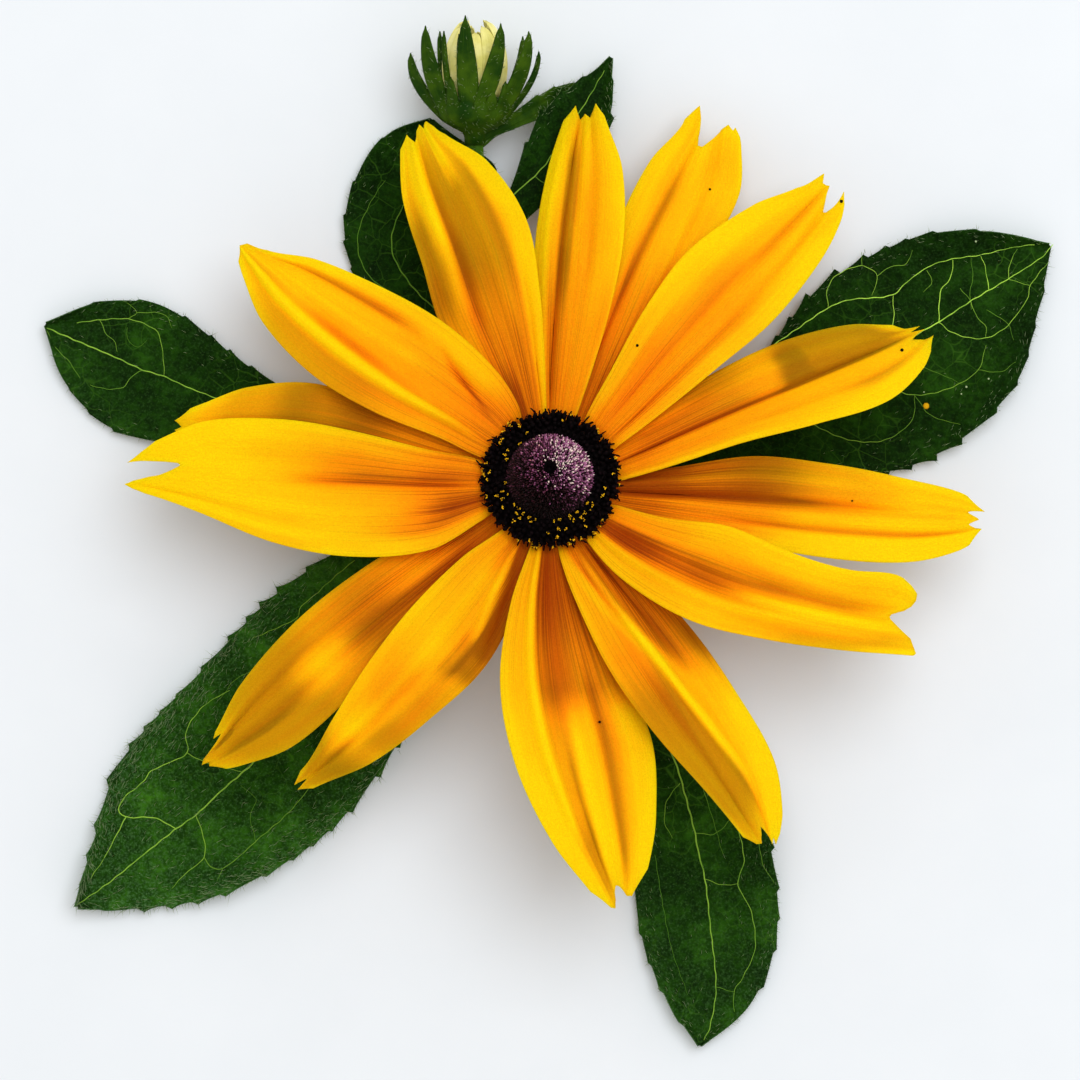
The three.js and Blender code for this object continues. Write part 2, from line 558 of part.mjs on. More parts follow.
/** Middle surface of a leaf that leaves a round stem at a point of its curve. */
function leafMiddle(leaf, rows, curve, radius) {
  const carrier = curve.getPointAt(leaf.at);
  const along = curve.getTangentAt(leaf.at);
  const tip = new THREE.Vector2(...leaf.tip);
  const centre = new THREE.Vector2(carrier.x, carrier.y);
  const level = new THREE.Vector2(along.x, along.y);
  const side = spineOf(centre, tip, leaf.bow)(0).side;
  const aim = new THREE.Vector2(side.y, -side.x);
  const away = aim.clone().addScaledVector(level, -aim.dot(level)).normalize();
  const reach = radius + CLEARANCE + PETIOLE_FOOT * Math.abs(aim.dot(level));
  const root = centre.clone().addScaledVector(away, reach);
  const height = carrier.z - LEAF_THICKNESS / 2;
  const spine = spineOf(root, tip, leaf.bow);
  const left = [PETIOLE_FOOT, PETIOLE, ...leaf.left, LEAF_POINT];
  const right = [PETIOLE_FOOT, PETIOLE, ...leaf.right, LEAF_POINT];
  return (s, v) => {
    const { point, side } = spine(s);
    const half = through(LEAF_STATIONS, v > 0 ? left : right, s);
    const saw = Math.abs((((s * rows) / 2) % 1) - 0.5) * 2;
    const tooth = LEAF_TOOTH * (1 - saw) * ease(0.2, 0.35, s) * (1 - ease(0.96, 1, s)) * Math.abs(v) ** 12;
    const across = v * half + Math.sign(v) * tooth;
    const fromRoot = height * (1 - ease(0.02, leaf.land, s));
    const aside = Math.max(0, Math.abs(v) - LEAF_FLAT) / (1 - LEAF_FLAT);
    const keel = leaf.keel * aside * half * ease(0, 0.2, s);
    const phase = 2 * Math.PI * leaf.wave[1] * s + (v > 0 ? 0 : 2);
    const wave = leaf.wave[0] * aside ** 2 * (1 + Math.sin(phase)) * ease(0.2, 0.4, s);
    const curl = leaf.curl * ease(0.75, 1, s) ** 2;
    const z = LEAF_THICKNESS / 2 + fromRoot + keel + wave + curl;
    return new THREE.Vector3(point.x + side.x * across, point.y + side.y * across, z);
  };
}

function makeLeaf(leaf, curve, radius) {
  const rows = 2 * leaf.teeth;
  const middle = leafMiddle(leaf, rows, curve, radius);
  const geometry = bladeGeometry(middle, rows, LEAF_COLUMNS, LEAF_THICKNESS, 0);
  return namedMesh(leaf.name, geometry, COLOURS.leaf);
}

// ---------------------------------------------------------------- bud, along its own axis
function makeBudInvolucre() {
  const cup = turnedGeometry([[0, 0], [BUD_STALK_RADIUS * 1.3, 0], [2.7, 1.0], [BUD_CUP_RADIUS * 0.9, 2.4],
    [BUD_CUP_RADIUS, 3.6], [BUD_CUP_RADIUS * 0.8, BUD_CUP_HEIGHT], [0, BUD_CUP_HEIGHT]], 16);
  const bracts = [];
  for (let k = 0; k < BUD_BRACTS; k += 1) {
    const { start, length, spread } = k % 2 === 0 ? BUD_BRACT : BUD_INNER;
    const stretch = 1 + BUD_UNEVEN * Math.sin(2.4 * k);
    const spine = (s) => ({
      radius: start + spread * Math.sin(0.5 * Math.PI * s),
      height: BUD_BRACT.height + length * stretch * s,
    });
    const azimuth = (2 * Math.PI * (k + 0.5)) / BUD_BRACTS;
    bracts.push(bractGeometry(azimuth, BUD_BRACT.half, BUD_BRACT.thickness, 5, spine));
  }
  return namedMesh('bud_involucre', fuse([cup, ...bracts]), COLOURS.involucre);
}

function makeBudRays() {
  const foot = BUD_CUP_HEIGHT + CLEARANCE;
  const [inner, outer] = BUD_COLLAR;
  const core = ringGeometry([[inner, foot], [outer, foot], [outer, foot + 1], [inner, foot + 1]], 18);
  const rays = [];
  for (let k = 0; k < BUD_RAYS; k += 1) {
    const spine = (s) => ({
      radius: BUD_RAY.radius - BUD_RAY.curl * s ** 3,
      height: foot + 0.3 + BUD_RAY.length * (k % 3 === 0 ? 0.86 : 1) * s,
    });
    rays.push(bractGeometry((2 * Math.PI * k) / BUD_RAYS, BUD_RAY.half, BUD_RAY.thickness, 4, spine));
  }
  return namedMesh('bud_rays', fuse([core, ...rays]), COLOURS.budRay);
}

function makeBudDisc() {
  const foot = BUD_CUP_HEIGHT + CLEARANCE;
  const { radius, height } = BUD_DISC;
  const profile = [[0, foot], [radius, foot], [radius * 0.97, foot + height * 0.47],
    [radius * 0.6, foot + height * 0.87], [0, foot + height]];
  return namedMesh('bud_disc', turnedGeometry(profile, 12), COLOURS.budDisc);
}

// ---------------------------------------------------------------- the flower
const flower = new THREE.Group();

const head = new THREE.Group();
head.rotation.x = -radians(HEAD_TILT);
head.position.z = HEAD_HEIGHT;
head.add(makeDome(), makeRing(), makeInvolucre(), ...makeRays());

const bud = new THREE.Group();
bud.rotation.x = -radians(90 - BUD_RISE);
bud.position.copy(budBase);
bud.add(makeBudInvolucre(), makeBudRays(), makeBudDisc());

const plant = new THREE.Group();
plant.add(head, bud, makeStem(), makeBudStalk());
plant.add(...STEM_LEAVES.map((leaf) => makeLeaf(leaf, stemCurve, STEM_RADIUS)));
plant.add(...STALK_LEAVES.map((leaf) => makeLeaf(leaf, stalkCurve, BUD_STALK_RADIUS)));
flower.add(plant);

flower.updateMatrixWorld(true);
const box = new THREE.Box3().setFromObject(flower, true);
const middle = box.getCenter(new THREE.Vector3());
plant.position.set(-middle.x, -middle.y, -box.min.z);

export default flower;
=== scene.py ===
# %% [markdown] # A cut black-eyed Susan, dressed for a portrait The packed model gives every piece
# its place: fourteen rays round a domed disc, the leaves of a short stem, and a side bud. This
# lesson rebuilds each of them with the fine surface that a living flower has, in the same place
# and at the same size, and then lights and frames the whole. Its box is kept, to compare with the
# dressed flower's box.

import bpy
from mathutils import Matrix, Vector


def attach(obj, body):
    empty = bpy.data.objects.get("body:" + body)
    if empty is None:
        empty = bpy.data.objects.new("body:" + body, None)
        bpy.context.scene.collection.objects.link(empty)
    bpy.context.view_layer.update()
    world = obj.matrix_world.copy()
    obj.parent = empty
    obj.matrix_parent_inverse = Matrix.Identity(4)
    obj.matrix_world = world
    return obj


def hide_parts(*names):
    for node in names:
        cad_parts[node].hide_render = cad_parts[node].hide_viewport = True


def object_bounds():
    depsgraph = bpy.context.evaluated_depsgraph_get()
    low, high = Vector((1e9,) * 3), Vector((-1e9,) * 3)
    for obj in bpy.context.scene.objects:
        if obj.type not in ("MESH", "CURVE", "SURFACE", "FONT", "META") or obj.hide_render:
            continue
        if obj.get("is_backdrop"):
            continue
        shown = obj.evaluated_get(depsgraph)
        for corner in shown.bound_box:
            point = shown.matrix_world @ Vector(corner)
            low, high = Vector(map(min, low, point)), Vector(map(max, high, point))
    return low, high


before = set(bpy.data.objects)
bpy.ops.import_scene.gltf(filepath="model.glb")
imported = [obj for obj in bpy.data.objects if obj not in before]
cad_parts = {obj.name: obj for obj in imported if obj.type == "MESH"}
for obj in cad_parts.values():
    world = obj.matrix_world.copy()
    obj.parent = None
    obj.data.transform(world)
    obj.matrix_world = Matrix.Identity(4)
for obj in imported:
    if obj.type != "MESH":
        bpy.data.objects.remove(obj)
cad_box = [list(corner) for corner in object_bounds()]

import math

import bpy
import numpy as np
from mathutils import Vector

print("nodes in the frame:", len(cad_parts))

# %% [markdown]
# ## Two places to measure from
# Lengths are in millimetres. On the plan, x and y are measured from the flower head's axis, and z
# from the surface that the leaves lie on. The head has axes of its own, because it leans back a
# little: there, z runs along the axis from the plane of the rays. The cut end of the stem stands at
# a known spot of the plan, so it tells how far the plan is shifted in the packed model.

# %% From the plan and from the head to the model
MM = 0.001
HEAD_HEIGHT, HEAD_TILT = 15.0, math.radians(12)
STEM_FOOT = (0.0, -3.0)

stem_points = np.array([v.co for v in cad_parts["stem"].data.vertices]) / MM
foot_points = stem_points[stem_points[:, 2] < 0.1]
plan_shift = np.array([*(foot_points[:, :2].mean(0) - STEM_FOOT), 0.0])


def from_head(points):
    """Head axes to plan: lean back about X, then lift to the height of the rays' plane."""
    x, y, z = np.moveaxis(np.asarray(points, float), -1, 0)
    cosine, sine = math.cos(HEAD_TILT), math.sin(HEAD_TILT)
    return np.stack([x, y * cosine + z * sine, z * cosine - y * sine + HEAD_HEIGHT], -1)


def to_model(points):
    """Plan millimetres to model metres."""
    return (np.asarray(points, float) + plan_shift) * MM


print("the plan is shifted by", plan_shift[:2].round(3), "mm")

# %% [markdown]
# ## Small tools for curves
# `unit` makes arrows one long. `ease` is a soft step. `through` draws a smooth curve through values
# at given stations, which is how the half width of a petal or leaf is described from its root to
# its tip. `spine` is the line that a blade follows, seen from above, bowed to one side. `bezier` is
# the line of the stem and of the bud's stalk.

# %% Curves
def unit(arrows):
    """Arrows of length 1, in the same directions."""
    return arrows / (np.linalg.norm(arrows, axis=-1, keepdims=True) + 1e-12)


def ease(start, end, x):
    t = np.clip((np.asarray(x, float) - start) / (end - start), 0, 1)
    return t * t * (3 - 2 * t)


def through(stations, values, x):
    stations, values = np.asarray(stations, float), np.asarray(values, float)
    count = len(stations)
    i = np.clip(np.searchsorted(stations, x) - 1, 0, count - 2)
    before, after = np.maximum(np.arange(count) - 1, 0), np.minimum(np.arange(count) + 1, count - 1)
    slope = (values[after] - values[before]) / (stations[after] - stations[before])
    span = stations[i + 1] - stations[i]
    t = (x - stations[i]) / span
    start = values[i] * (2 * t**3 - 3 * t**2 + 1) + slope[i] * span * (t**3 - 2 * t**2 + t)
    end = values[i + 1] * (3 * t**2 - 2 * t**3) + slope[i + 1] * span * (t**3 - t**2)
    return start + end


def spine(root, tip, bow):
    """Returns a function of s that gives the points of the line and its left-hand side."""
    root, tip = np.asarray(root, float), np.asarray(tip, float)
    chord = unit(tip - root)
    control = (root + tip) / 2 + bow * np.array([-chord[1], chord[0]])

    def along(s):
        s = np.asarray(s, float)[..., None]
        point = root * (1 - s) ** 2 + control * 2 * s * (1 - s) + tip * s**2
        ahead = unit((control - root) * (1 - s) + (tip - control) * s)
        return point, np.stack([-ahead[..., 1], ahead[..., 0]], -1)

    return along


def bezier(a, b, c, d, s):
    s = np.asarray(s, float)[..., None]
    a, b, c, d = (np.asarray(p, float) for p in (a, b, c, d))
    return a * (1 - s) ** 3 + b * 3 * s * (1 - s) ** 2 + c * 3 * s**2 * (1 - s) + d * s**3


def lengths_along(line):
    """How far each point of a line is from its start, along the line."""
    return np.concatenate([[0], np.cumsum(np.linalg.norm(np.diff(line, axis=0), axis=1))])


print("halfway through a soft step:", float(ease(0, 1, 0.5)))

# %% [markdown]
# ## From points to pieces
# Every piece is a closed mesh built from arrays of points. A piece carries numbers on its points, such as
# how far along a petal each lies, and the materials read those to place their colours. Each piece is tied
# to the one body of the model, takes its finish, and hides the model's nodes that it replaces.

# %% Pieces
def piece(name, points, faces, skin, slot, nodes=(), **marks):
    """Makes the piece. Each mark becomes a named number on its points."""
    mesh = bpy.data.meshes.new(name)
    mesh.from_pydata(to_model(points).tolist(), [], [tuple(face) for face in faces])
    mesh.validate()
    mesh.shade_smooth()
    for label, values in marks.items():
        attribute = mesh.attributes.new(label, "FLOAT", "POINT")
        attribute.data.foreach_set("value", np.asarray(values, np.float32).ravel())
    made = bpy.data.objects.new(name, mesh)
    bpy.context.scene.collection.objects.link(made)
    made.data.materials.append(skin)
    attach(made, "root")
    if nodes:
        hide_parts(*nodes)


print("pieces are measured in millimetres, the model in metres:", MM)

# %% [markdown]
# A **blade** is a petal, leaf or bract: a middle surface, given by a function of `s` along and `v`
# across from -1 on the right to +1 on the left, with two faces a little apart. Solidify could add
# the second face, but doing it here keeps the edge thin and lets both faces share their marks.

# %% Blades
def grid_of(surface, rows, columns):
    s, v = np.meshgrid(np.linspace(0, 1, rows + 1), np.linspace(-1, 1, columns + 1), indexing="ij")
    middle = surface(s, v)
    normal = np.cross(np.gradient(middle, axis=0), np.gradient(middle, axis=1))
    return s, v, middle, unit(normal)


EDGE_SHARE = 0.35


def blade(surface, rows, columns, thickness):
    """Points, faces and marks of a closed blade that thins to EDGE_SHARE of its thickness at the rim."""
    s, v, middle, normal = grid_of(surface, rows, columns)
    rim = np.maximum(np.abs(v) ** 6, ease(0.9, 1, s))
    half = thickness / 2 * (1 - (1 - EDGE_SHARE) * rim)[..., None]
    points = np.stack([middle + normal * half, middle - normal * half]).reshape(-1, 3)
    index = np.arange((rows + 1) * (columns + 1)).reshape(rows + 1, columns + 1)
    quad = np.stack([index[:-1, :-1], index[1:, :-1], index[1:, 1:], index[:-1, 1:]], -1).reshape(-1, 4)
    loop = np.concatenate([index[0, :-1], index[:-1, -1], index[-1, :0:-1], index[:0:-1, 0]])
    after = np.roll(loop, -1)
    under = index.size
    sides = np.stack([loop, after, after + under, loop + under], -1)
    faces = np.concatenate([quad, quad[:, ::-1] + under, sides])
    marks = {"along": np.tile(s.ravel(), 2), "across": np.tile(v.ravel(), 2),
             "under": np.repeat([0.0, 1.0], index.size)}
    return points, faces, marks


print("a blade's rim has", EDGE_SHARE, "of its thickness")

# %% [markdown]
# A **tube** follows a line, for stems and veins. **Turned** shapes go round an axis. **Scattered**
# shapes are many copies of one small closed form, each turned, stretched and placed on its own, and
# joined into one mesh: florets, pollen and hairs.

# %% Tubes, turned shapes and copies
def directions(line):
    return unit(np.gradient(line, axis=0))


def side_axes(ahead):
    """Two arrows square to each arrow ahead. The fixed one is no piece's own direction."""
    side = unit(np.cross((0.13, 0.21, 1.0), ahead))
    return side, np.cross(ahead, side)


def round_turn(count):
    return np.arange(count) * 2 * np.pi / count


def wrapped(rings, sides):
    """Faces over rings of points that are followed by a foot and a head point, which close the ends."""
    index = np.arange(rings * sides).reshape(rings, sides)
    after = np.roll(index, -1, 1)
    quads = np.stack([index[:-1], after[:-1], after[1:], index[1:]], -1).reshape(-1, 4).tolist()
    caps = [(rings * sides, int(b), int(a)) for a, b in zip(index[0], after[0])]
    caps += [(rings * sides + 1, int(a), int(b)) for a, b in zip(index[-1], after[-1])]
    return quads + caps


def tube(line, radius, sides):
    """A closed tube. radius is one for each point of the line, or (sides, points) for a ribbed one."""
    side, up = side_axes(directions(line))
    angle = round_turn(sides)[None, :, None]
    radius = np.broadcast_to(np.asarray(radius, float), (sides, len(line))).T
    ring = line[:, None] + radius[..., None] * (side[:, None] * np.cos(angle) + up[:, None] * np.sin(angle))
    points = np.concatenate([ring.reshape(-1, 3), line[:1], line[-1:]])
    along = np.concatenate([np.repeat(np.linspace(0, 1, len(line)), sides), [0, 1]])
    return points, wrapped(len(line), sides), {"along": along}


def turned(profile, sides=48):
    """A solid of revolution about Z. The profile runs from the axis, below, to the axis, above."""
    angle = round_turn(sides)
    (_, foot), *inner, (_, head) = profile
    radii, heights = np.array(inner, float).T[:, :, None]
    ring = np.stack([radii * np.cos(angle), radii * np.sin(angle), np.repeat(heights, sides, 1)], -1)
    points = np.concatenate([ring.reshape(-1, 3), [[0, 0, foot], [0, 0, head]]])
    return points, wrapped(len(inner), sides)


def form(radii, heights, sides):
    """A small closed form about Z, from its first height to its tip at 1."""
    return turned([(0, heights[0]), *zip(radii, heights), (0, 1)], sides)


def shifted(faces, base):
    return [tuple(int(corner) + base for corner in face) for face in faces]


def scattered(shape, places, axes, lengths, widths, bend=(0, 0, 0), twist=0.0, **own):
    """Copies of a form. bend leans each copy's far end over. own holds marks with a number a copy."""
    points, faces = shape
    places, axes = np.asarray(places, float), unit(np.asarray(axes, float))
    side, up = side_axes(axes)
    count = len(places)
    lengths = np.broadcast_to(np.asarray(lengths, float), count)[:, None, None]
    widths = np.broadcast_to(np.asarray(widths, float), count)[:, None, None]
    angle = np.broadcast_to(np.asarray(twist, float), count)[:, None]
    x = points[:, 0] * np.cos(angle) - points[:, 1] * np.sin(angle)
    y = points[:, 0] * np.sin(angle) + points[:, 1] * np.cos(angle)
    z = points[None, :, 2:]
    lean = np.broadcast_to(np.asarray(bend, float), (count, 3))[:, None]
    moved = places[:, None] + widths * (x[..., None] * side[:, None] + y[..., None] * up[:, None])
    moved = moved + lengths * z * axes[:, None] + lengths * z**2 * lean
    every = [face for k in range(count) for face in shifted(faces, k * len(points))]
    marks = {name: np.repeat(values, len(points)) for name, values in own.items()}
    return moved.reshape(-1, 3), every, {"tip": np.tile(points[:, 2], count), **marks}


def together(parts):
    """Joins several closed forms, with their marks, into one mesh."""
    starts = np.cumsum([0] + [len(points) for points, _, _ in parts]).tolist()
    every = [face for (_, faces, _), start in zip(parts, starts) for face in shifted(faces, start)]
    names = {name for _, _, marks in parts for name in marks}
    joined = {name: np.concatenate([marks.get(name, np.zeros(len(points))) for points, _, marks in parts])
              for name in sorted(names)}
    return np.concatenate([points for points, _, _ in parts]), every, joined


HAIR = form([0.5, 0.36], [0.0, 0.5], 3)
print("one hair has", len(HAIR[1]), "faces")

# %% [markdown]
# ## Shaders written as sums
# A material is a tree of nodes. `Wire` holds one socket of such a tree and lets Python's own
# arithmetic add the Math nodes, so a mask can be written as `1 - veins * 0.4`. Its `node` method
# adds any other node: settings are made first, then the sockets get their values or links.

# %% Wires
class Wire:
    def __init__(self, tree, socket=None):
        self.tree = tree
        self.socket = socket

    def node(self, kind, settings=None, inputs=None, output=0):
        made = self.tree.nodes.new("ShaderNode" + kind)
        for key, value in (settings or {}).items():
            if key == "stops":
                ramp = made.color_ramp
                while len(ramp.elements) < len(value):
                    ramp.elements.new(0.5)
                for element, (position, tint) in zip(ramp.elements, value):
                    element.position = position
                    element.color = (*tint, 1.0)
            else:
                setattr(made, key, value)
        for key, value in (inputs or {}).items():
            if isinstance(value, Wire):
                self.tree.links.new(value.socket, made.inputs[key])
            else:
                made.inputs[key].default_value = value
        return Wire(self.tree, made.outputs[output])

    def math(self, operation, *others):
        return self.node("Math", {"operation": operation}, dict(enumerate((self, *others))))

    def __add__(self, other):
        return self.math("ADD", other)

    def __mul__(self, other):
        return self.math("MULTIPLY", other)

    def __sub__(self, other):
        return self.math("SUBTRACT", other)

    def __rsub__(self, other):
        return self.node("Math", {"operation": "SUBTRACT"}, {0: other, 1: self})

    def __pow__(self, other):
        return self.math("POWER", other)

    __radd__ = __add__
    __rmul__ = __mul__

    def size(self):
        return self.math("ABSOLUTE")

    def between(self, low, high):
        """0 at low, 1 at high, with a soft step from one to the other."""
        return self.node("MapRange", {"interpolation_type": "SMOOTHSTEP"},
                         {"Value": self, "From Min": low, "From Max": high})

    def mixed(self, first, second, blend="MIX"):
        """The first colour where this is 0 and the second where it is 1."""
        settings = {"data_type": "RGBA", "blend_type": blend}
        return self.node("Mix", settings, {0: self, 6: first, 7: second}, 2)


def colour(red, green, blue):
    return (red, green, blue, 1.0)


print("sums that may start with a number:", [name for name in vars(Wire) if name.startswith("__r")])

# %% [markdown]
# A finish starts as one principled shader. Numbers that are the same all over the surface are set
# on the shader itself. Only what changes from place to place is linked to it.

# %% Finishes
def finish(name, settings):
    """A new material, the place to start its wires from, and the shader that they end in."""
    material = bpy.data.materials.new(name)
    material.use_nodes = True
    tree = material.node_tree
    shader = tree.nodes["Principled BSDF"]
    for key, value in settings.items():
        shader.inputs[key].default_value = value
    return material, Wire(tree), shader


FED = {"base": "Base Color", "rough": "Roughness", "normal": "Normal"}


def feed(shader, **wires):
    for key, wire in wires.items():
        wire.tree.links.new(wire.socket, shader.inputs[FED[key]])


def mark(start, name):
    return start.node("Attribute", {"attribute_type": "GEOMETRY", "attribute_name": name}, output=2)


def grid_place(start):
    return start.node("TexCoord", output=3)


def noise(start, where, scale, detail=3.0, roughness=0.55):
    inputs = {"Vector": where, "Scale": scale, "Detail": detail, "Roughness": roughness}
    return start.node("TexNoise", {}, inputs)


def streaks(start, across, along, seed=0.0, detail=2.0):
    """Noise in a piece's own measures, so that it runs lengthwise."""
    return noise(start, start.node("CombineXYZ", {}, {"X": across, "Y": along, "Z": seed}), 1.0, detail)


def bump(start, height, distance):
    return start.node("Bump", {}, {"Height": height, "Distance": distance, "Strength": 1.0})


print("what changes over a surface feeds", *FED.values())

# %% [markdown]
# ### Ray petals
# A ray is deep orange where it leaves the disc and clears to yellow towards its tip and margins.
# Fine veins run its whole length and are darkest near the root. Its skin is made of tiny cones that break
# up the light, which shows as a soft grain. A gradient image could hold this, but the marks on the mesh
# place it exactly.
# Light and shade are painted on it as well. Strips from the table darken it as painted shadow where
# neighbouring rays and the disc shade it, or clear it as painted light. Its fold valleys are painted darker
# and its ridges clearer.

# %% Ray finish
def make_ray_finish():
    material, start, shader = finish("ray_petal", {
        "Specular IOR Level": 0.05, "Subsurface Weight": 0.55, "Subsurface Radius": (1.0, 0.6, 0.05),
        "Subsurface Scale": 0.0009})
    along, across, seed = mark(start, "along"), mark(start, "across"), mark(start, "seed")
    shade, tone = mark(start, "shade"), mark(start, "tone")
    fine = streaks(start, across * 42.0, along * 1.3, seed)
    broad = streaks(start, across * 3.6, along * 2.0, seed, 1.0)
    place = grid_place(start)
    grain, patches = noise(start, place, 5200.0, 2.0, 0.7), noise(start, place, 120.0, 2.0)
    # The hue moves with the painted light and shade: lit strips and ridges clear it towards yellow, while
    # shaded strips and valleys turn it orange.
    hue_and_painted_light = (0.29 + along * 0.57 + across.size() ** 3.0 * 0.2 + shade * 0.35 + (broad - 0.5) * 0.4
                + (patches - 0.5) * 0.25 + (fine - 0.5) * 0.3 + tone.math("MAXIMUM", -0.15) * 0.5)
    base = hue_and_painted_light.node("ValToRGB", {"stops": [
        (0.0, (0.92, 0.165, 0.0)), (0.2, (0.97, 0.230, 0.0)), (0.42, (1.0, 0.310, 0.0)),
        (0.62, (1.0, 0.410, 0.0)), (0.82, (1.0, 0.510, 0.0)), (1.0, (1.0, 0.610, 0.0))]},
        {"Fac": hue_and_painted_light})
    near_root = 1 - along.between(0.1, 0.7)
    # Painted shade: shaded strips and valleys darken the ray, browner near the root. The fine veins darken
    # it too.
    painted_shade_and_streaks = (tone * -0.8 - shade * 0.25 + (fine - 0.5) * (near_root * 0.9 + 0.15)).between(0.0, 0.9)
    painted_shade_colour = near_root.mixed(colour(0.36, 0.39, 0.2), colour(0.38, 0.25, 0.2))
    base = painted_shade_and_streaks.mixed(base, painted_shade_colour, "MULTIPLY")
    veins = fine.between(0.52, 0.62) * near_root * (0.8 - shade)
    base = (veins * 0.5).mixed(base, colour(0.50, 0.32, 0.3), "MULTIPLY")
    base = (grain.between(0.3, 0.7) * 0.28).mixed(base, colour(0.60, 0.45, 0.3), "MULTIPLY")
    relief = fine * 0.7 + grain * 0.5
    feed(shader, base=base, rough=0.62 + grain * 0.2, normal=bump(start, relief, 0.00010))
    return material


ray_finish = make_ray_finish()
print("made", ray_finish.name)

# %% [markdown]
# ### Disc, florets and pollen
# The unopened florets of the dome are plum brown with paler tips, no two alike. The open ones round
# it are almost black, and carry clots of yellow pollen.
# Florets that face the light are painted paler, a few of them as bright glints, and those on the lower side
# darker: painted light and shade on top of their own tones.

# %% Disc finishes
def make_disc_finish():
    material, start, shader = finish("unopened_florets", {"Specular IOR Level": 0.08})
    # own holds each floret's random tone together with its painted light and shade.
    own, tip = mark(start, "own"), mark(start, "tip")
    base = own.node("ValToRGB", {"stops": [
        (0.0, (0.003, 0.001, 0.001)), (0.3, (0.022, 0.007, 0.009)), (0.5, (0.100, 0.028, 0.055)),
        (0.72, (0.32, 0.092, 0.220)), (0.9, (0.64, 0.270, 0.470)), (1.0, (0.95, 0.780, 0.700))]},
        {"Fac": own})
    base = (mark(start, "warm") * 0.8).mixed(base, colour(0.80, 0.42, 0.22), "MULTIPLY")
    base = (1 - tip.between(0.2, 0.75)).mixed(base, colour(0.003, 0.001, 0.001))
    feed(shader, base=base, rough=0.35 + own * 0.25)
    return material


def make_floret_finish():
    material, start, shader = finish("open_florets", {"Specular IOR Level": 0.03})
    speckle = noise(start, grid_place(start), 2600.0, 2.0)
    base = speckle.between(0.45, 0.75).mixed(colour(0.0015, 0.0008, 0.001), colour(0.007, 0.003, 0.004))
    feed(shader, base=base, rough=0.5 + speckle * 0.3)
    return material


def make_pollen_finish():
    material, start, shader = finish("pollen", {"Roughness": 0.8, "Specular IOR Level": 0.1})
    own = mark(start, "own")
    feed(shader, base=own.mixed(colour(0.55, 0.26, 0.0), colour(1.0, 0.58, 0.01)))
    return material


disc_finish, floret_finish, pollen_finish = make_disc_finish(), make_floret_finish(), make_pollen_finish()
print("made", disc_finish.name, floret_finish.name, pollen_finish.name)

# %% [markdown]
# ### Leaves, veins and hairs
# A leaf is dark green above, paler below, and mottled where it bulges between its veins. The large
# veins are pieces of their own. The fine net between them is a cell pattern: its cell borders serve
# as both colour and relief. Stiff white hairs stand on everything green.
# Its margins and tip carry a painted sheen, and the hollows of its crumples are painted darker, as painted
# shade.

# %% Leaf finishes
def make_leaf_finish():
    material, start, shader = finish("leaf_skin", {"Specular IOR Level": 0.035})
    place = grid_place(start)
    warp = noise(start, place, 420.0, 2.0)
    shift = start.node("CombineXYZ", {}, {"X": (warp - 0.5) * 0.0016, "Y": (warp - 0.5) * -0.0013})
    bent = start.node("VectorMath", {"operation": "ADD"}, {0: place, 1: shift})
    net = start.node("TexVoronoi", {"feature": "DISTANCE_TO_EDGE"}, {"Vector": bent, "Scale": 420.0})
    mottle, dust = noise(start, place, 190.0, 4.0, 0.6), noise(start, place, 3800.0, 2.0, 0.7)
    crumple = noise(start, place, 1300.0, 3.0, 0.6)
    fresh, along, across = mark(start, "fresh"), mark(start, "along"), mark(start, "across")
    base = mottle.node("ValToRGB", {"stops": [
        (0.25, (0.004, 0.021, 0.0005)), (0.5, (0.012, 0.060, 0.001)), (0.75, (0.038, 0.150, 0.006))]},
        {"Fac": mottle})
    lines = (1 - net.between(0.0, 0.035)) * noise(start, place, 90.0, 1.0).between(0.35, 0.7)
    # Painted shade: the hollows of the crumples are painted darker.
    base = (1 - crumple.between(0.38, 0.62)).mixed(base, colour(0.50, 0.55, 0.4), "MULTIPLY")
    base = (lines * (0.7 - fresh * 0.55)).mixed(base, colour(0.090, 0.250, 0.020))
    base = (dust.between(0.5, 0.72) * 0.45).mixed(base, colour(0.045, 0.135, 0.022))
    # Painted sheen: the margins and the tip are painted paler, as light glancing off them, more on the
    # fresh leaves.
    margin = along ** 3.0 * 0.6 + across.size() ** 3.0 * 0.4
    painted_sheen = margin * dust.between(0.4, 0.75) * (fresh * 0.6 + 0.1)
    base = painted_sheen.mixed(base, colour(0.085, 0.190, 0.075))
    base = (1 - fresh).mixed(base, colour(0.34, 0.38, 0.3), "MULTIPLY")
    base = (mark(start, "under") * 0.6).mixed(base, colour(0.09, 0.19, 0.07))
    relief = net.between(0.0, 0.35) * 0.5 + mottle * 2.0 + crumple * 0.6 + dust * 0.35
    feed(shader, base=base, rough=0.6 + dust * 0.2, normal=bump(start, relief, 0.00012))
    return material


def make_vein_finish():
    material, start, shader = finish("leaf_veins", {"Roughness": 0.6, "Specular IOR Level": 0.1})
    patches = noise(start, grid_place(start), 500.0)
    pale = (1 - mark(start, "faint")).mixed(colour(0.030, 0.115, 0.005), colour(0.46, 0.80, 0.085))
    feed(shader, base=(patches.between(0.4, 0.7) * 0.6).mixed(pale, colour(0.05, 0.18, 0.012)))
    return material


def make_hair_finish():
    material, start, shader = finish("plant_hairs", {"Roughness": 0.5, "Specular IOR Level": 0.3})
    tip = mark(start, "tip")
    feed(shader, base=tip.mixed(colour(0.03, 0.10, 0.010), colour(0.42, 0.52, 0.28)))
    return material


leaf_finish, vein_finish, hair_finish = make_leaf_finish(), make_vein_finish(), make_hair_finish()
print("made", leaf_finish.name, vein_finish.name, hair_finish.name)

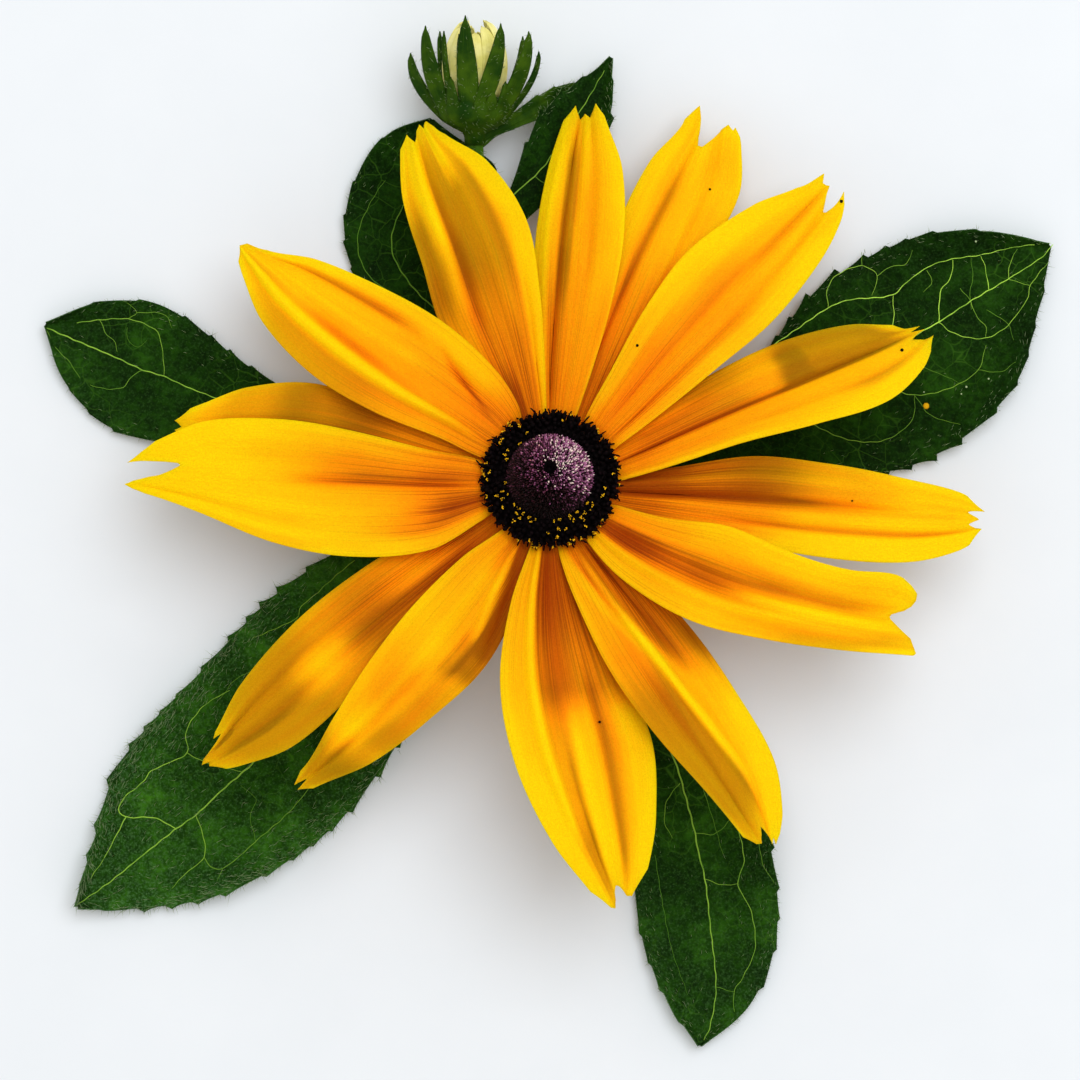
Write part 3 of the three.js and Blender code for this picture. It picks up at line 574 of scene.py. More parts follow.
# %% [markdown]
# ### Stem, bracts and the young parts of the bud
# Stem and bracts are a fresher green, with faint lengthwise ribs. The rays of the bud are still
# folded, pale and greenish.

# %% Green finishes
def make_green_finish(name, dark, light, ribs):
    material, start, shader = finish(name, {"Roughness": 0.6, "Specular IOR Level": 0.06})
    place = grid_place(start)
    along, across = mark(start, "along"), mark(start, "across")
    patches = noise(start, place, 380.0, 3.0)
    fine = streaks(start, across * ribs, along * 2.0)
    base = patches.between(0.3, 0.75).mixed(colour(*dark), colour(*light))
    base = (fine.between(0.5, 0.75) * 0.4).mixed(base, colour(*[1.2 * c for c in light]))
    feed(shader, base=base, normal=bump(start, fine + noise(start, place, 2400.0), 0.00008))
    return material


stem_finish = make_green_finish("stem_skin", (0.018, 0.062, 0.002), (0.052, 0.130, 0.006), 14.0)
bract_finish = make_green_finish("bract_skin", (0.006, 0.032, 0.0005), (0.040, 0.092, 0.002), 9.0)
young_ray_finish = make_green_finish("young_rays", (0.74, 0.68, 0.16), (0.96, 0.90, 0.38), 10.0)
young_disc_finish = make_green_finish("young_disc", (0.05, 0.08, 0.015), (0.14, 0.18, 0.04), 5.0)
print("made", stem_finish.name, bract_finish.name, young_ray_finish.name, young_disc_finish.name)

# %% [markdown]
# ## The rays
# Each ray is a strap, broad from the disc on, with two or three teeth at its tip and soft
# lengthwise folds. One table holds what differs from ray to ray, anticlockwise from +X: the
# direction that it leaves the disc in, the tip, the sideways bow of the spine, half widths left and
# right where it leaves the disc and at a fifth, two fifths, ... of its length, the half width at
# the tip, the layer (1 lies over both neighbours, -1 under both, 0 over one), the height of the
# tip, and the slope of a lengthwise fold.
# - `teeth` is the tip's outline from the right margin to the left: how far it stands back at `v`.
# - `folds` are ridges and valleys: v at the root, v at the tip, height, half width in v, start, end.
# - the strips at the end of each row are lengthwise bands of painted shade (negative), such as shadows cast
#   by neighbouring rays and the disc, or of painted light (positive): from v and its softness, to v and its
#   softness, the drift of v towards the tip, start and end along the ray, strength, and how softly it
#   starts and ends, where that isn't the usual.

# %% Table of rays
RAYS = [
    dict(azimuth=13, tip=(42.3, 17.8), bow=-0.5, end=1.3, layer=0, lift=-1, fold=0.1,
         left=(3.0, 4.0, 5.1, 5.4, 4.2, 1.8), right=(2.2, 3.0, 3.9, 5.3, 6.1, 4.1),
         teeth=[(-1, 1.2), (-0.7, 0), (-0.25, 1.6), (-0.1, 2.4), (0.12, 0.5), (0.3, 2.2), (0.5, 0.9),
                (0.65, 2.6), (1, 3.6)],
         folds=[(0.0, 0.03, -0.6, 0.1, 0.02, 0.9), (-0.5, -0.4, -0.3, 0.1, 0.4, 1),
                (-0.9, -0.9, 0.3, 0.1, 0, 0.5), (0.5, 0.5, 0.3, 0.2, 0.3, 0.9)],
         painted_shade_and_light_strips=[(0.03, 0.04, 1.2, 0.1, 0, 0.1, 0.5, -0.6, 0.1),
                (-0.06, 0.05, 1.2, 0.1, 0, 0.57, 0.96, -0.85, 0.06),
                (0.0, 0.06, 0.8, 0.15, 0, 0.575, 0.66, -0.35, 0.02),
                (0.5, 0.08, 0.8, 0.1, 0, 0.08, 0.3, 0.4),
                (-0.05, 0.04, 0.07, 0.03, 0, 0.05, 0.92, -0.62),
                (-0.62, 0.06, -0.44, 0.06, 0, 0.74, 0.94, -0.5),
                (-1.2, 0.1, -0.55, 0.1, 0, 0.2, 1, 0.25), (-0.35, 0.1, 0.0, 0.08, 0, 0, 0.2, -0.4)]),
    dict(azimuth=38, tip=(31.5, 34.4), bow=0.3, end=2.1, layer=1, lift=0, fold=0.05,
         left=(2.6, 3.8, 5.6, 6.3, 4.5, 2.1), right=(2.2, 3.4, 4.9, 6.0, 5.4, 3.9),
         teeth=[(-1, 1.2), (-0.86, 0), (-0.5, 3.3), (-0.42, 3.5), (-0.1, 0.7), (0.05, 0.9), (0.25, 1.0),
                (0.55, 0.0), (0.8, 1.8), (1, 3.4)],
         folds=[(0.1, 0.0, -0.35, 0.12, 0.1, 1), (-0.5, -0.4, -0.42, 0.1, 0.05, 1),
                (0.55, 0.5, -0.2, 0.1, 0, 0.5)],
         painted_shade_and_light_strips=[(0.08, 0.06, 0.38, 0.12, 0, 0.12, 0.66, -0.3, 0.1),
                (-0.68, 0.08, -0.4, 0.15, 0, 0.03, 0.6, -0.22, 0.1),
                (-1.2, 0.1, -0.68, 0.06, 0, 0.05, 0.9, 0.35), (0.5, 0.12, 1.2, 0.1, 0, 0.1, 0.9, 0.35),
                (-0.1, 0.1, 0.1, 0.1, 0, 0.7, 0.95, -0.25), (-1.2, 0.1, 1.2, 0.1, 0, 0, 0.1, -0.25)]),
    dict(azimuth=61, tip=(18.2, 43.2), bow=-0.5, end=2.9, layer=-1, lift=-0.5, fold=0,
         left=(2.0, 3.0, 4.2, 4.9, 4.3, 2.5), right=(2.0, 3.0, 4.4, 5.6, 6.4, 4.6),
         teeth=[(-1, 1.9), (-0.9, 1.0), (-0.8, 1.5), (-0.66, 1.0), (-0.45, 1.8), (-0.1, 4.6),
                (0.0, 4.6), (0.3, 1.4), (0.5, 0), (0.7, 0.9), (1, 2.2)],
         folds=[(0.6, 0.05, -0.4, 0.1, 0.2, 1), (-0.5, -0.4, -0.34, 0.1, 0.3, 1)],
         painted_shade_and_light_strips=[(-1.2, 0.1, 1.2, 0.1, 0, 0, 0.26, -0.55, 0.1),
                (-1.2, 0.1, 0.45, 0.1, 0, 0.2, 0.5, -0.25, 0.12),
                (0.5, 0.1, 0.75, 0.08, -0.6, 0.38, 0.85, -0.5, 0.1),
                (0.5, 0.1, 1.2, 0.1, 0, 0.4, 0.95, 0.3), (-0.55, 0.1, -0.25, 0.1, 0, 0.58, 0.85, 0.25),
                (-0.9, 0.1, -0.5, 0.1, 0, 0.84, 0.96, -0.3)]),
    dict(azimuth=83, tip=(4.0, 43.4), bow=-0.8, end=1.6, layer=0, lift=0.5, fold=0,
         left=(2.0, 3.2, 4.2, 4.6, 3.8, 2.6), right=(2.0, 3.1, 4.5, 5.2, 4.5, 2.6),
         teeth=[(-1, 1.5), (-0.7, 0), (-0.25, 1.7), (0, 1.2), (0.2, 1.9), (0.65, 0.2), (1, 1.9)],
         folds=[(0.5, 0.25, -0.5, 0.09, 0.05, 1), (-0.3, -0.3, -0.25, 0.12, 0.4, 1),
                (0.75, 0.7, 0.25, 0.14, 0.1, 0.9), (0.1, 0.05, -0.25, 0.08, 0.6, 1)],
         painted_shade_and_light_strips=[(0.66, 0.05, 1.2, 0.1, 0, 0.03, 0.95, 0.28),
                (0.1, 0.12, 0.62, 0.04, 0, 0.06, 0.5, -0.5, 0.12),
                (0.08, 0.06, 0.46, 0.05, 0, 0.45, 0.93, -0.7, 0.12),
                (-1.2, 0.1, -0.6, 0.15, 0, 0.45, 0.95, 0.25)]),
    dict(azimuth=108, tip=(-14.8, 41.2), bow=-1.5, end=1.7, layer=0, lift=2, fold=0,
         left=(2.3, 4.2, 6.2, 5.8, 5.1, 3.3), right=(2.0, 3.3, 5.3, 6.6, 5.0, 1.9),
         teeth=[(-1, 3.0), (-0.75, 1.6), (-0.45, 0.7), (-0.3, 0.8), (-0.1, 1.4), (0.03, 0.7),
                (0.26, 1.2), (0.42, 2.4), (0.75, 1.1), (1, 2.3)],
         folds=[(0.5, 0.5, 0.45, 0.12, 0.4, 1), (0.3, 0.34, -0.45, 0.12, 0.3, 1),
                (-0.35, -0.25, 0.3, 0.14, 0.3, 1), (-0.75, -0.7, -0.35, 0.08, 0.0, 0.5),
                (0.85, 0.85, -0.3, 0.12, 0.4, 0.9)],
         painted_shade_and_light_strips=[(-0.62, 0.12, 0.35, 0.06, 0, 0.45, 0.88, -0.75, 0.12),
                (0.1, 0.15, 0.6, 0.1, 0, 0.48, 0.64, -0.25),
                (0.58, 0.12, 1.2, 0.1, 0, 0.39, 0.78, -0.75, 0.1),
                (0.42, 0.06, 0.66, 0.1, 0, 0.62, 0.97, 0.4), (-1.2, 0.1, -0.6, 0.1, 0, 0.55, 0.95, 0.3),
                (-1.2, 0.1, -0.64, 0.06, 0, 0, 0.55, 0.5),
                (-0.6, 0.08, 0.45, 0.1, 0, 0, 0.44, -0.5, 0.14), (0.0, 0.1, 0.55, 0.1, 0, 0, 0.2, -0.5),
                (-0.3, 0.06, -0.05, 0.06, 0, 0.84, 0.97, 0.7),
                (-0.05, 0.06, 0.3, 0.06, 0, 0.86, 1, -0.3)]),
    dict(azimuth=136, tip=(-34.3, 26.7), bow=1.3, end=1.0, layer=1, lift=1.5, fold=0.06,
         left=(2.9, 3.8, 5.9, 6.6, 5.4, 2.8), right=(4.2, 6.2, 6.9, 5.9, 3.9, 1.3),
         teeth=[(-1, 2.6), (-0.4, 0.5), (0.3, 0), (1, 1.1)],
         folds=[(0.45, 0.38, 0.8, 0.1, 0.1, 0.97), (0.18, 0.14, -0.5, 0.1, 0.4, 0.75),
                (-0.1, -1.6, -0.7, 0.09, 0.14, 0.35), (-0.62, -0.62, -0.5, 0.1, 0.42, 0.9),
                (-0.2, -0.15, 0.45, 0.2, 0.33, 0.5), (-0.75, -0.6, 0.5, 0.15, 0.08, 0.5)],
         painted_shade_and_light_strips=[(0.3, 0.05, 0.5, 0.06, 0, 0.25, 1, 0.35),
                (0.53, 0.08, 1.2, 0.1, 0, 0.36, 0.9, -0.55, 0.14),
                (-0.72, 0.08, -0.56, 0.04, 0, 0.47, 0.86, -0.42, 0.14),
                (0.12, 0.1, 0.3, 0.05, 0, 0.45, 0.66, -0.3, 0.12),
                (0.1, 0.1, 0.34, 0.08, 0, 0.82, 0.97, -0.4),
                (-0.13, 0.05, -0.03, 0.1, -1.55, 0.12, 0.33, -0.6, 0.06),
                (-0.75, 0.1, -0.5, 0.1, 0, 0.1, 0.34, 0.3), (-1.2, 0.1, 1.2, 0.1, 0, 0, 0.16, -0.35),
                (-0.45, 0.1, -0.05, 0.1, 0, 0.5, 0.85, 0.3),
                (-1.2, 0.1, -0.78, 0.05, 0, 0.1, 0.95, 0.35)]),
    dict(azimuth=162, tip=(-41.7, 6.6), bow=0.5, end=1.1, layer=-1, lift=1, fold=0,
         left=(2.0, 2.6, 4.2, 5.0, 4.0, 2.0), right=(2.0, 2.8, 5.3, 6.8, 5.4, 2.7),
         teeth=[(-1, 1.5), (-0.4, 0), (0.1, 0.9), (0.5, 0.2), (1, 1.4)],
         folds=[(-0.3, -0.3, -0.28, 0.13, 0.1, 0.9), (0.3, 0.3, -0.28, 0.13, 0.1, 0.9)],
         painted_shade_and_light_strips=[(-1.2, 0.1, 1.2, 0.1, 0, 0.18, 0.5, -0.35, 0.12),
                (-1.2, 0.1, 1.2, 0.1, 0.3, 0.38, 0.68, -0.65, 0.1),
                (-1.2, 0.15, 0.2, 0.1, 0, 0.62, 0.9, -0.45)]),
    dict(azimuth=187, tip=(-46.9, 0.9), bow=1.2, end=1.9, layer=1, lift=0, fold=0,
         left=(4.0, 7.3, 8.2, 7.0, 3.9, 2.3), right=(3.0, 4.0, 5.9, 7.0, 6.4, 3.8),
         teeth=[(-1, 2.9), (-0.85, 1.4), (-0.62, 0), (-0.42, 2.6), (-0.27, 5.9), (-0.22, 5.9),
                (0.1, 2.6), (0.4, 0.9), (0.66, 0), (0.85, 0.9), (1, 2.4)],
         folds=[(0.0, -0.05, -0.5, 0.1, 0.05, 0.6), (0.6, 0.6, -0.3, 0.12, 0.45, 1),
                (-0.45, -0.4, -0.22, 0.13, 0.2, 0.9), (0.4, 0.4, -0.35, 0.12, 0.02, 0.3)],
         painted_shade_and_light_strips=[(-0.55, 0.15, 0.02, 0.04, 0, 0.08, 0.46, -0.3, 0.14),
                (-0.3, 0.15, 0.01, 0.03, 0, 0.15, 0.44, -0.3), (0.1, 0.12, 0.65, 0.12, 0, 0, 0.2, -0.8),
                (-1.2, 0.1, -0.1, 0.2, 0, 0, 0.2, -0.35), (0.55, 0.1, 0.8, 0.06, 0, 0.16, 0.32, -0.3),
                (0.04, 0.08, 1.2, 0.1, 0, 0.3, 1, 0.5, 0.14), (0.86, 0.05, 1.2, 0.1, 0, 0.5, 0.9, -0.5),
                (-1.2, 0.1, 0.04, 0.1, 0, 0.6, 1, 0.5, 0.16),
                (0.76, 0.08, 1.2, 0.1, 0, 0.04, 0.34, 0.4),
                (-1.2, 0.1, -0.84, 0.06, 0, 0.2, 0.6, 0.4)]),
    dict(azimuth=215, tip=(-38.4, -30.9), bow=-0.8, end=1.0, layer=-1, lift=-3.6, fold=0,
         left=(2.2, 3.4, 4.5, 5.3, 5.3, 3.0), right=(2.4, 3.8, 4.9, 5.0, 3.7, 1.6),
         teeth=[(-1, 3.4), (-0.85, 2.8), (-0.62, 3.8), (-0.35, 0.6), (0, 0), (0.2, 0.8), (0.5, 0.5),
                (1, 1.7)],
         folds=[(-0.4, -0.35, -0.3, 0.13, 0.1, 1), (0.25, 0.2, -0.36, 0.13, 0.1, 1),
                (-0.1, 0.2, 0.8, 0.35, 0.5, 0.66)],
         painted_shade_and_light_strips=[(-1.2, 0.1, 1.2, 0.1, 0, 0, 0.22, -0.75, 0.1),
                (0.0, 0.25, 1.2, 0.1, 0, 0.2, 0.54, -0.8, 0.1),
                (-1.2, 0.1, 0.1, 0.2, 0, 0.32, 0.56, -0.6, 0.12),
                (-1.2, 0.1, 1.2, 0.1, 0, 0.6, 1, -0.7, 0.1),
                (-0.3, 0.2, 0.5, 0.2, 0, 0.57, 0.68, 0.65, 0.06),
                (-0.5, 0.15, 0.0, 0.12, 0, 0.2, 0.36, 0.35),
                (0.3, 0.06, 0.44, 0.05, 0, 0.76, 0.96, -0.4),
                (-0.25, 0.05, -0.1, 0.05, 0, 0.9, 0.95, -0.9, 0.02)]),
    dict(azimuth=244, tip=(-28.0, -33.6), bow=3.5, end=0.9, layer=0, lift=-3.2, fold=0,
         left=(2.5, 3.9, 5.3, 4.6, 3.5, 1.7), right=(2.2, 3.9, 4.8, 4.4, 2.8, 1.2),
         teeth=[(-1, 1.5), (-0.3, 0), (0.05, 1.6), (0.35, 0), (1, 1.4)],
         folds=[(-0.05, 1.45, 0.6, 0.12, 0.05, 0.4), (0.3, 1.8, -0.5, 0.12, 0.1, 0.42),
                (-0.3, -0.2, 0.3, 0.2, 0.1, 0.5), (0.1, 0.1, -0.3, 0.13, 0.5, 1),
                (0.2, -0.3, 0.55, 0.3, 0.4, 0.55)],
         painted_shade_and_light_strips=[(-0.3, 0.1, 1.2, 0.1, 0, 0, 0.16, -0.6),
                (0.02, 0.06, 0.2, 0.12, 1.5, 0.05, 0.385, -0.6, 0.03),
                (0.14, 0.1, 3, 0.1, 1.5, 0, 0.385, -0.45, 0.03),
                (0.25, 0.08, 0.62, 0.08, 0, 0.36, 0.5, -0.5, 0.03),
                (0.52, 0.1, 1.2, 0.1, 0, 0.12, 0.475, -0.75, 0.03),
                (0.35, 0.15, 1.2, 0.1, 0, 0.5, 0.78, -0.45, 0.1),
                (-0.6, 0.2, 0.0, 0.15, 0, 0.6, 0.67, -0.35, 0.08),
                (-1.2, 0.1, 1.2, 0.1, 0, 0.85, 1, -0.75, 0.06),
                (0.0, 0.2, 1.2, 0.1, 0, 0.7, 0.9, -0.35), (-0.6, 0.15, 0.2, 0.2, 0, 0.72, 0.83, 0.5),
                (-1.2, 0.1, 0.3, 0.1, 0, 0.12, 0.48, 0.4, 0.1)]),
    dict(azimuth=269, tip=(7.7, -46.7), bow=-3.8, end=1.6, layer=0, lift=-4.5, fold=0,
         left=(2.2, 3.9, 6.6, 8.6, 7.0, 4.3), right=(2.4, 4.6, 6.8, 6.8, 5.0, 2.8),
         teeth=[(-1, 2.4), (-0.6, 0.2), (-0.35, 0.0), (-0.1, 0.9), (0.08, 2.3), (0.18, 2.1),
                (0.45, 0.9), (0.72, 0.7), (1, 3.0)],
         folds=[(-0.52, -0.4, 0.7, 0.09, 0.02, 0.8), (-0.1, -0.1, -0.5, 0.2, 0.02, 0.55),
                (0.42, 0.42, -0.42, 0.1, 0.35, 1), (0.1, 0.05, 0.3, 0.1, 0.45, 1),
                (-0.15, -0.1, -0.25, 0.06, 0.55, 0.95)],
         painted_shade_and_light_strips=[(-1.2, 0.1, -0.46, 0.04, 0.12, 0.03, 1, 0.45),
                (-0.46, 0.04, 1.2, 0.1, 0.1, 0, 0.47, -0.6, 0.05),
                (-0.46, 0.04, 1.2, 0.1, 0.1, 0, 0.28, -0.3, 0.1),
                (-0.4, 0.06, -0.05, 0.1, 0, 0.46, 0.8, -0.35, 0.1),
                (0.33, 0.05, 0.52, 0.14, 0, 0.46, 0.95, -0.6),
                (0.0, 0.06, 0.3, 0.06, 0, 0.5, 0.95, 0.4), (-0.5, 0.08, 0.0, 0.06, 0, 0.8, 1, -0.6),
                (-0.14, 0.05, 0.0, 0.05, 0, 0.58, 0.85, -0.3),
                (0.64, 0.1, 1.2, 0.1, 0, 0.5, 0.95, 0.35, 0.04)]),
    dict(azimuth=293, tip=(23.9, -40.2), bow=1.0, end=1.4, layer=0, lift=-5, fold=-0.1,
         left=(2.0, 3.4, 5.0, 5.6, 5.6, 3.6), right=(3.0, 4.4, 5.4, 4.8, 3.0, 1.9),
         teeth=[(-1, 2.3), (-0.5, 1.0), (-0.15, 0.8), (0.08, 1.7), (0.16, 2.5), (0.3, 1.6), (0.5, 0.2),
                (0.6, 0.8), (0.8, 0), (1, 0.8)],
         folds=[(-0.42, 0.45, 0.75, 0.09, 0.05, 0.85), (-0.35, -0.3, -0.3, 0.14, 0.4, 0.95),
                (0.0, 0.9, -0.6, 0.14, 0.02, 0.5), (0.35, 0.35, -0.35, 0.09, 0.5, 1)],
         painted_shade_and_light_strips=[(-3, 0.1, -0.53, 0.05, 0.95, 0.44, 1, -0.72, 0.12),
                (-0.8, 0.1, 3, 0.1, 2.2, 0, 0.48, -0.68, 0.08),
                (-1.1, 0.06, -0.85, 0.08, 2.2, 0.1, 0.45, 0.4),
                (-0.5, 0.04, -0.38, 0.06, 0.95, 0.42, 0.8, 0.5), (0.25, 0.1, 1.2, 0.1, 0, 0.52, 1, 0.4),
                (0.75, 0.15, 1.2, 0.1, 0, 0.4, 0.6, -0.5), (0.2, 0.06, 0.34, 0.05, 0, 0.66, 0.9, -0.35),
                (-1.2, 0.1, -0.4, 0.1, 0, 0.03, 0.3, 0.3)]),
    dict(azimuth=321, tip=(40.5, -15.2), bow=-5.7, end=3.9, layer=1, lift=-4, fold=0.3,
         left=(2.2, 3.4, 5.3, 4.9, 4.6, 4.9), right=(3.2, 4.9, 6.1, 5.3, 4.5, 4.0),
         teeth=[(-1, 0.3), (-0.95, 0), (-0.8, 0.2), (-0.5, 0.6), (-0.2, 1.9), (0.05, 2.9), (0.12, 2.8),
                (0.25, 1.4), (0.4, 0.6), (0.6, 0.1), (0.8, 0.0), (0.93, 0.6), (1, 1.7)],
         folds=[(-0.52, -0.4, 0.5, 0.09, 0.02, 0.7), (-0.2, -0.2, 0.35, 0.09, 0.45, 0.95),
                (-0.15, -0.1, -0.45, 0.2, 0.02, 0.5), (0.15, 0.15, -0.3, 0.12, 0.5, 0.95),
                (-0.7, -0.65, -0.3, 0.1, 0.45, 0.9)],
         painted_shade_and_light_strips=[(-0.4, 0.08, 0.25, 0.12, 0, 0, 0.22, -0.75, 0.1),
                (-0.25, 0.15, 0.3, 0.1, 0, 0.12, 0.44, -0.45, 0.12),
                (-0.45, 0.08, 0.25, 0.12, 0, 0.34, 0.6, -0.3, 0.12),
                (-1.2, 0.1, -0.5, 0.06, 0, 0, 0.62, 0.45),
                (0.02, 0.08, 0.4, 0.12, 0, 0.5, 0.92, -0.4, 0.1),
                (-0.35, 0.06, -0.1, 0.06, 0, 0.5, 0.95, 0.4),
                (-1.2, 0.1, -0.7, 0.12, 0, 0.52, 0.88, -0.5, 0.1),
                (-0.85, 0.1, -0.45, 0.1, 0, 0.86, 1, -0.4), (0.5, 0.1, 1.2, 0.1, 0, 0.3, 0.8, 0.3)]),
    dict(azimuth=350, tip=(48.3, -3.6), bow=-1.4, end=1.6, layer=-1, lift=-2, fold=0,
         left=(2.2, 3.7, 5.6, 5.4, 4.2, 3.1), right=(2.2, 3.0, 4.3, 5.3, 5.2, 3.6),
         teeth=[(-1, 1.8), (-0.55, 0.4), (-0.2, 1.9), (0.0, 0.7), (0.1, 0.9), (0.3, 2.0), (0.38, 1.6),
                (0.6, 0), (1, 2.0)],
         folds=[(0.18, 0.15, -0.6, 0.1, 0, 0.8), (-0.45, -0.4, -0.38, 0.1, 0.3, 1),
                (0.55, 0.55, 0.3, 0.14, 0, 0.7), (-0.15, -0.15, 0.2, 0.12, 0.1, 0.9)],
         painted_shade_and_light_strips=[(-1.2, 0.1, 1.2, 0.1, 0, 0, 0.2, -0.6),
                (0.1, 0.08, 1.2, 0.1, 0, 0.04, 0.5, -0.85, 0.14),
                (-0.03, 0.07, 0.24, 0.06, 0, 0.02, 0.62, -0.6, 0.12),
                (-0.5, 0.1, 0.0, 0.1, 0, 0.2, 0.5, -0.25), (-1.2, 0.1, -0.5, 0.06, 0, 0.44, 1, 0.5),
                (0.3, 0.1, 1.2, 0.1, 0, 0.4, 0.75, -0.35, 0.1),
                (-0.48, 0.06, -0.34, 0.06, 0, 0.45, 0.95, -0.3),
                (-0.3, 0.05, -0.1, 0.05, 0, 0.5, 0.95, 0.3)]),
]
print("rays in the table:", len(RAYS))

# %% [markdown]
# The surface of a ray is written as heights over its strap: the layer that it lies in, a low arch,
# the lift of its tip, the folds, and slight waves along its margins.

# %% Build the rays
RAY_STATIONS = (0, 0.07, 0.2, 0.4, 0.6, 0.8, 0.93, 1)
CLAW_RADIUS, CLAW_WIDTH = 4.95, 1.4
LAYER_STEP, SIDE_SLOPE, ARCH = 0.9, 0.27, 1.4
RAY_THICKNESS, BAND_FADE = 0.34, 0.07
RAY_ROWS, RAY_COLUMNS = 96, 64


def ray_surface(ray, seed):
    angle = math.radians(ray["azimuth"])
    root = CLAW_RADIUS * np.array([math.cos(angle), math.sin(angle)])
    line = spine(root, ray["tip"], ray["bow"])
    length = np.linalg.norm(ray["tip"] - root)
    left, right = ((CLAW_WIDTH, *ray[side], ray["end"]) for side in ("left", "right"))
    teeth_v, teeth_back = zip(*ray["teeth"])

    def surface(s, v):
        s = s - np.interp(v, teeth_v, teeth_back) / length * ease(0.5, 1, s)
        half = np.where(v > 0, through(RAY_STATIONS, left, s), through(RAY_STATIONS, right, s))
        across = v * half
        opened = ease(0.01, 0.085, s)
        height = (ray["layer"] * LAYER_STEP + ARCH * np.sin(np.pi * s)) * opened + ray["lift"] * s**2
        if ray["layer"] == 0:
            height = height - SIDE_SLOPE * across * opened
        height = height + ray["fold"] * np.abs(across) * ease(0.1, 0.4, s) + pleats(ray, s, v)
        wave = np.sin(11 * s + seed) + 0.6 * np.sin(23 * s + 2.3 * seed)
        height = height + 0.10 * wave * v**3 * ease(0.2, 0.5, s) + 0.07 * np.sin(17 * s + 3 * v + seed)
        point, side = line(s)
        return from_head(np.concatenate([point + side * across[..., None], height[..., None]], -1))

    return surface


def pleats(ray, s, v):
    """Height of the ridges and valleys of a ray."""
    height = 0 * s
    for v_root, v_tip, tall, wide, start, end in ray["folds"]:
        away = (v - v_root - (v_tip - v_root) * s) / wide
        inside = ease(start - 0.02, start + 0.12, s) * (1 - ease(end - 0.12, end + 0.05, s))
        height = height + tall * np.exp(-away**2) * inside
    return height


def painted_shade_and_light_strips(ray, s, v):
    """Sum of a ray's strips of painted shade and light, each 1 inside its edges and fading over their
    softness.
    """
    total = 0 * s
    for low, low_soft, high, high_soft, drift, start, end, strength, *own_fade in ray["painted_shade_and_light_strips"]:
        w = v - drift * s
        fade = own_fade[0] if own_fade else BAND_FADE
        inside = ease(low - low_soft, low + low_soft, w)
        inside = inside * (1 - ease(high - high_soft, high + high_soft, w))
        lengthwise = ease(start - fade, start + fade, s) * (1 - ease(end - fade, end + fade, s))
        total = total + strength * inside * lengthwise
    return total


for number, ray in enumerate(RAYS, 1):
    points, faces, marks = blade(ray_surface(ray, 1.7 * number), RAY_ROWS, RAY_COLUMNS, RAY_THICKNESS)
    marks["seed"] = np.full(len(points), 3.1 * number)
    # The folds' heights also become a mark that paints the colour: valleys darker and oranger, ridges
    # clearer, as painted shade and light.
    marks["shade"] = pleats(ray, marks["along"], marks["across"])
    # The strips become a mark of painted shade and light for the ray finish.
    marks["tone"] = painted_shade_and_light_strips(ray, marks["along"], marks["across"])
    name = f"ray_{number:02d}"
    piece("petal_" + name, points, faces, ray_finish, "ray", [name], **marks)
print("rays made:", len(RAYS), "with", len(faces), "faces each")

# %% [markdown]
# ## The disc
# Florets grow in spirals, each turned by the golden angle from the one before, and each with the
# same share of the dome's area. So the place of floret number n follows from n alone. Instancing
# one floret would be lighter, but the exported model keeps only real meshes, so copies are joined.
# The youngest, at the very top, leave a small dark pit.

# %% Unopened florets on the dome
GOLDEN_ANGLE = math.pi * (3 - math.sqrt(5))
DOME_RADIUS, DOME_FOOT, DOME_HEIGHT = 4.65, 0.95, 6.95
DOME_FLORETS, PIT_FLORETS = 4300, 38
LIT_SIDE = (0.42, 0.28, 0.75)  # the florets that face this way are the palest
dice = np.random.default_rng(7)

rise = np.linspace(0, np.pi / 2, 400)
girth = DOME_RADIUS * np.cos(rise)
pace = np.hypot(DOME_RADIUS * np.sin(rise), DOME_HEIGHT * np.cos(rise))
area = np.concatenate([[0], np.cumsum((girth * pace)[1:] * np.diff(rise))])
number = np.arange(PIT_FLORETS, DOME_FLORETS)
count = len(number)
angle = np.interp(area[-1] * (1 - (number + 0.5) / DOME_FLORETS), area, rise)
turn = number * GOLDEN_ANGLE
radial = np.stack([np.cos(angle) * np.cos(turn), np.cos(angle) * np.sin(turn), np.sin(angle)], -1)
outward = unit(radial / (DOME_RADIUS, DOME_RADIUS, DOME_HEIGHT))
place = radial * (DOME_RADIUS, DOME_RADIUS, DOME_HEIGHT) + (0, 0, DOME_FOOT)

FLORET = form([1.0, 0.95, 0.5], [-0.1, 0.45, 0.82], 5)
lean = outward + dice.normal(0, 0.18, outward.shape)
width = 0.108 * dice.uniform(0.7, 1.2, count)
length, twist = dice.uniform(0.25, 0.55, count), dice.uniform(0, 2, count)
# Painted light and shade: florets facing the lit side are painted paler, some as glints, and those on the
# lower side darker. Random tone is added to it.
facing = np.clip(outward @ LIT_SIDE, 0, 1)
painted_light_and_own_tone = 0.24 + 0.6 * facing**1.3 - 0.45 * np.clip(-0.3 - outward[:, 1], 0, 1)
painted_light_and_own_tone = painted_light_and_own_tone + dice.normal(0, 0.16 + 0.16 * facing, count) + 0.3 * (dice.random(count) < 0.1 * facing)
warm = np.clip(0.35 - outward[:, 0], 0, 1) * dice.random(count) ** 2
points, faces, marks = scattered(FLORET, place, lean, length, width, twist=twist,
                                 own=np.clip(painted_light_and_own_tone, 0, 1), warm=warm)
piece("dome_florets", from_head(points), faces, disc_finish, "disc", ["disc_dome"], **marks)

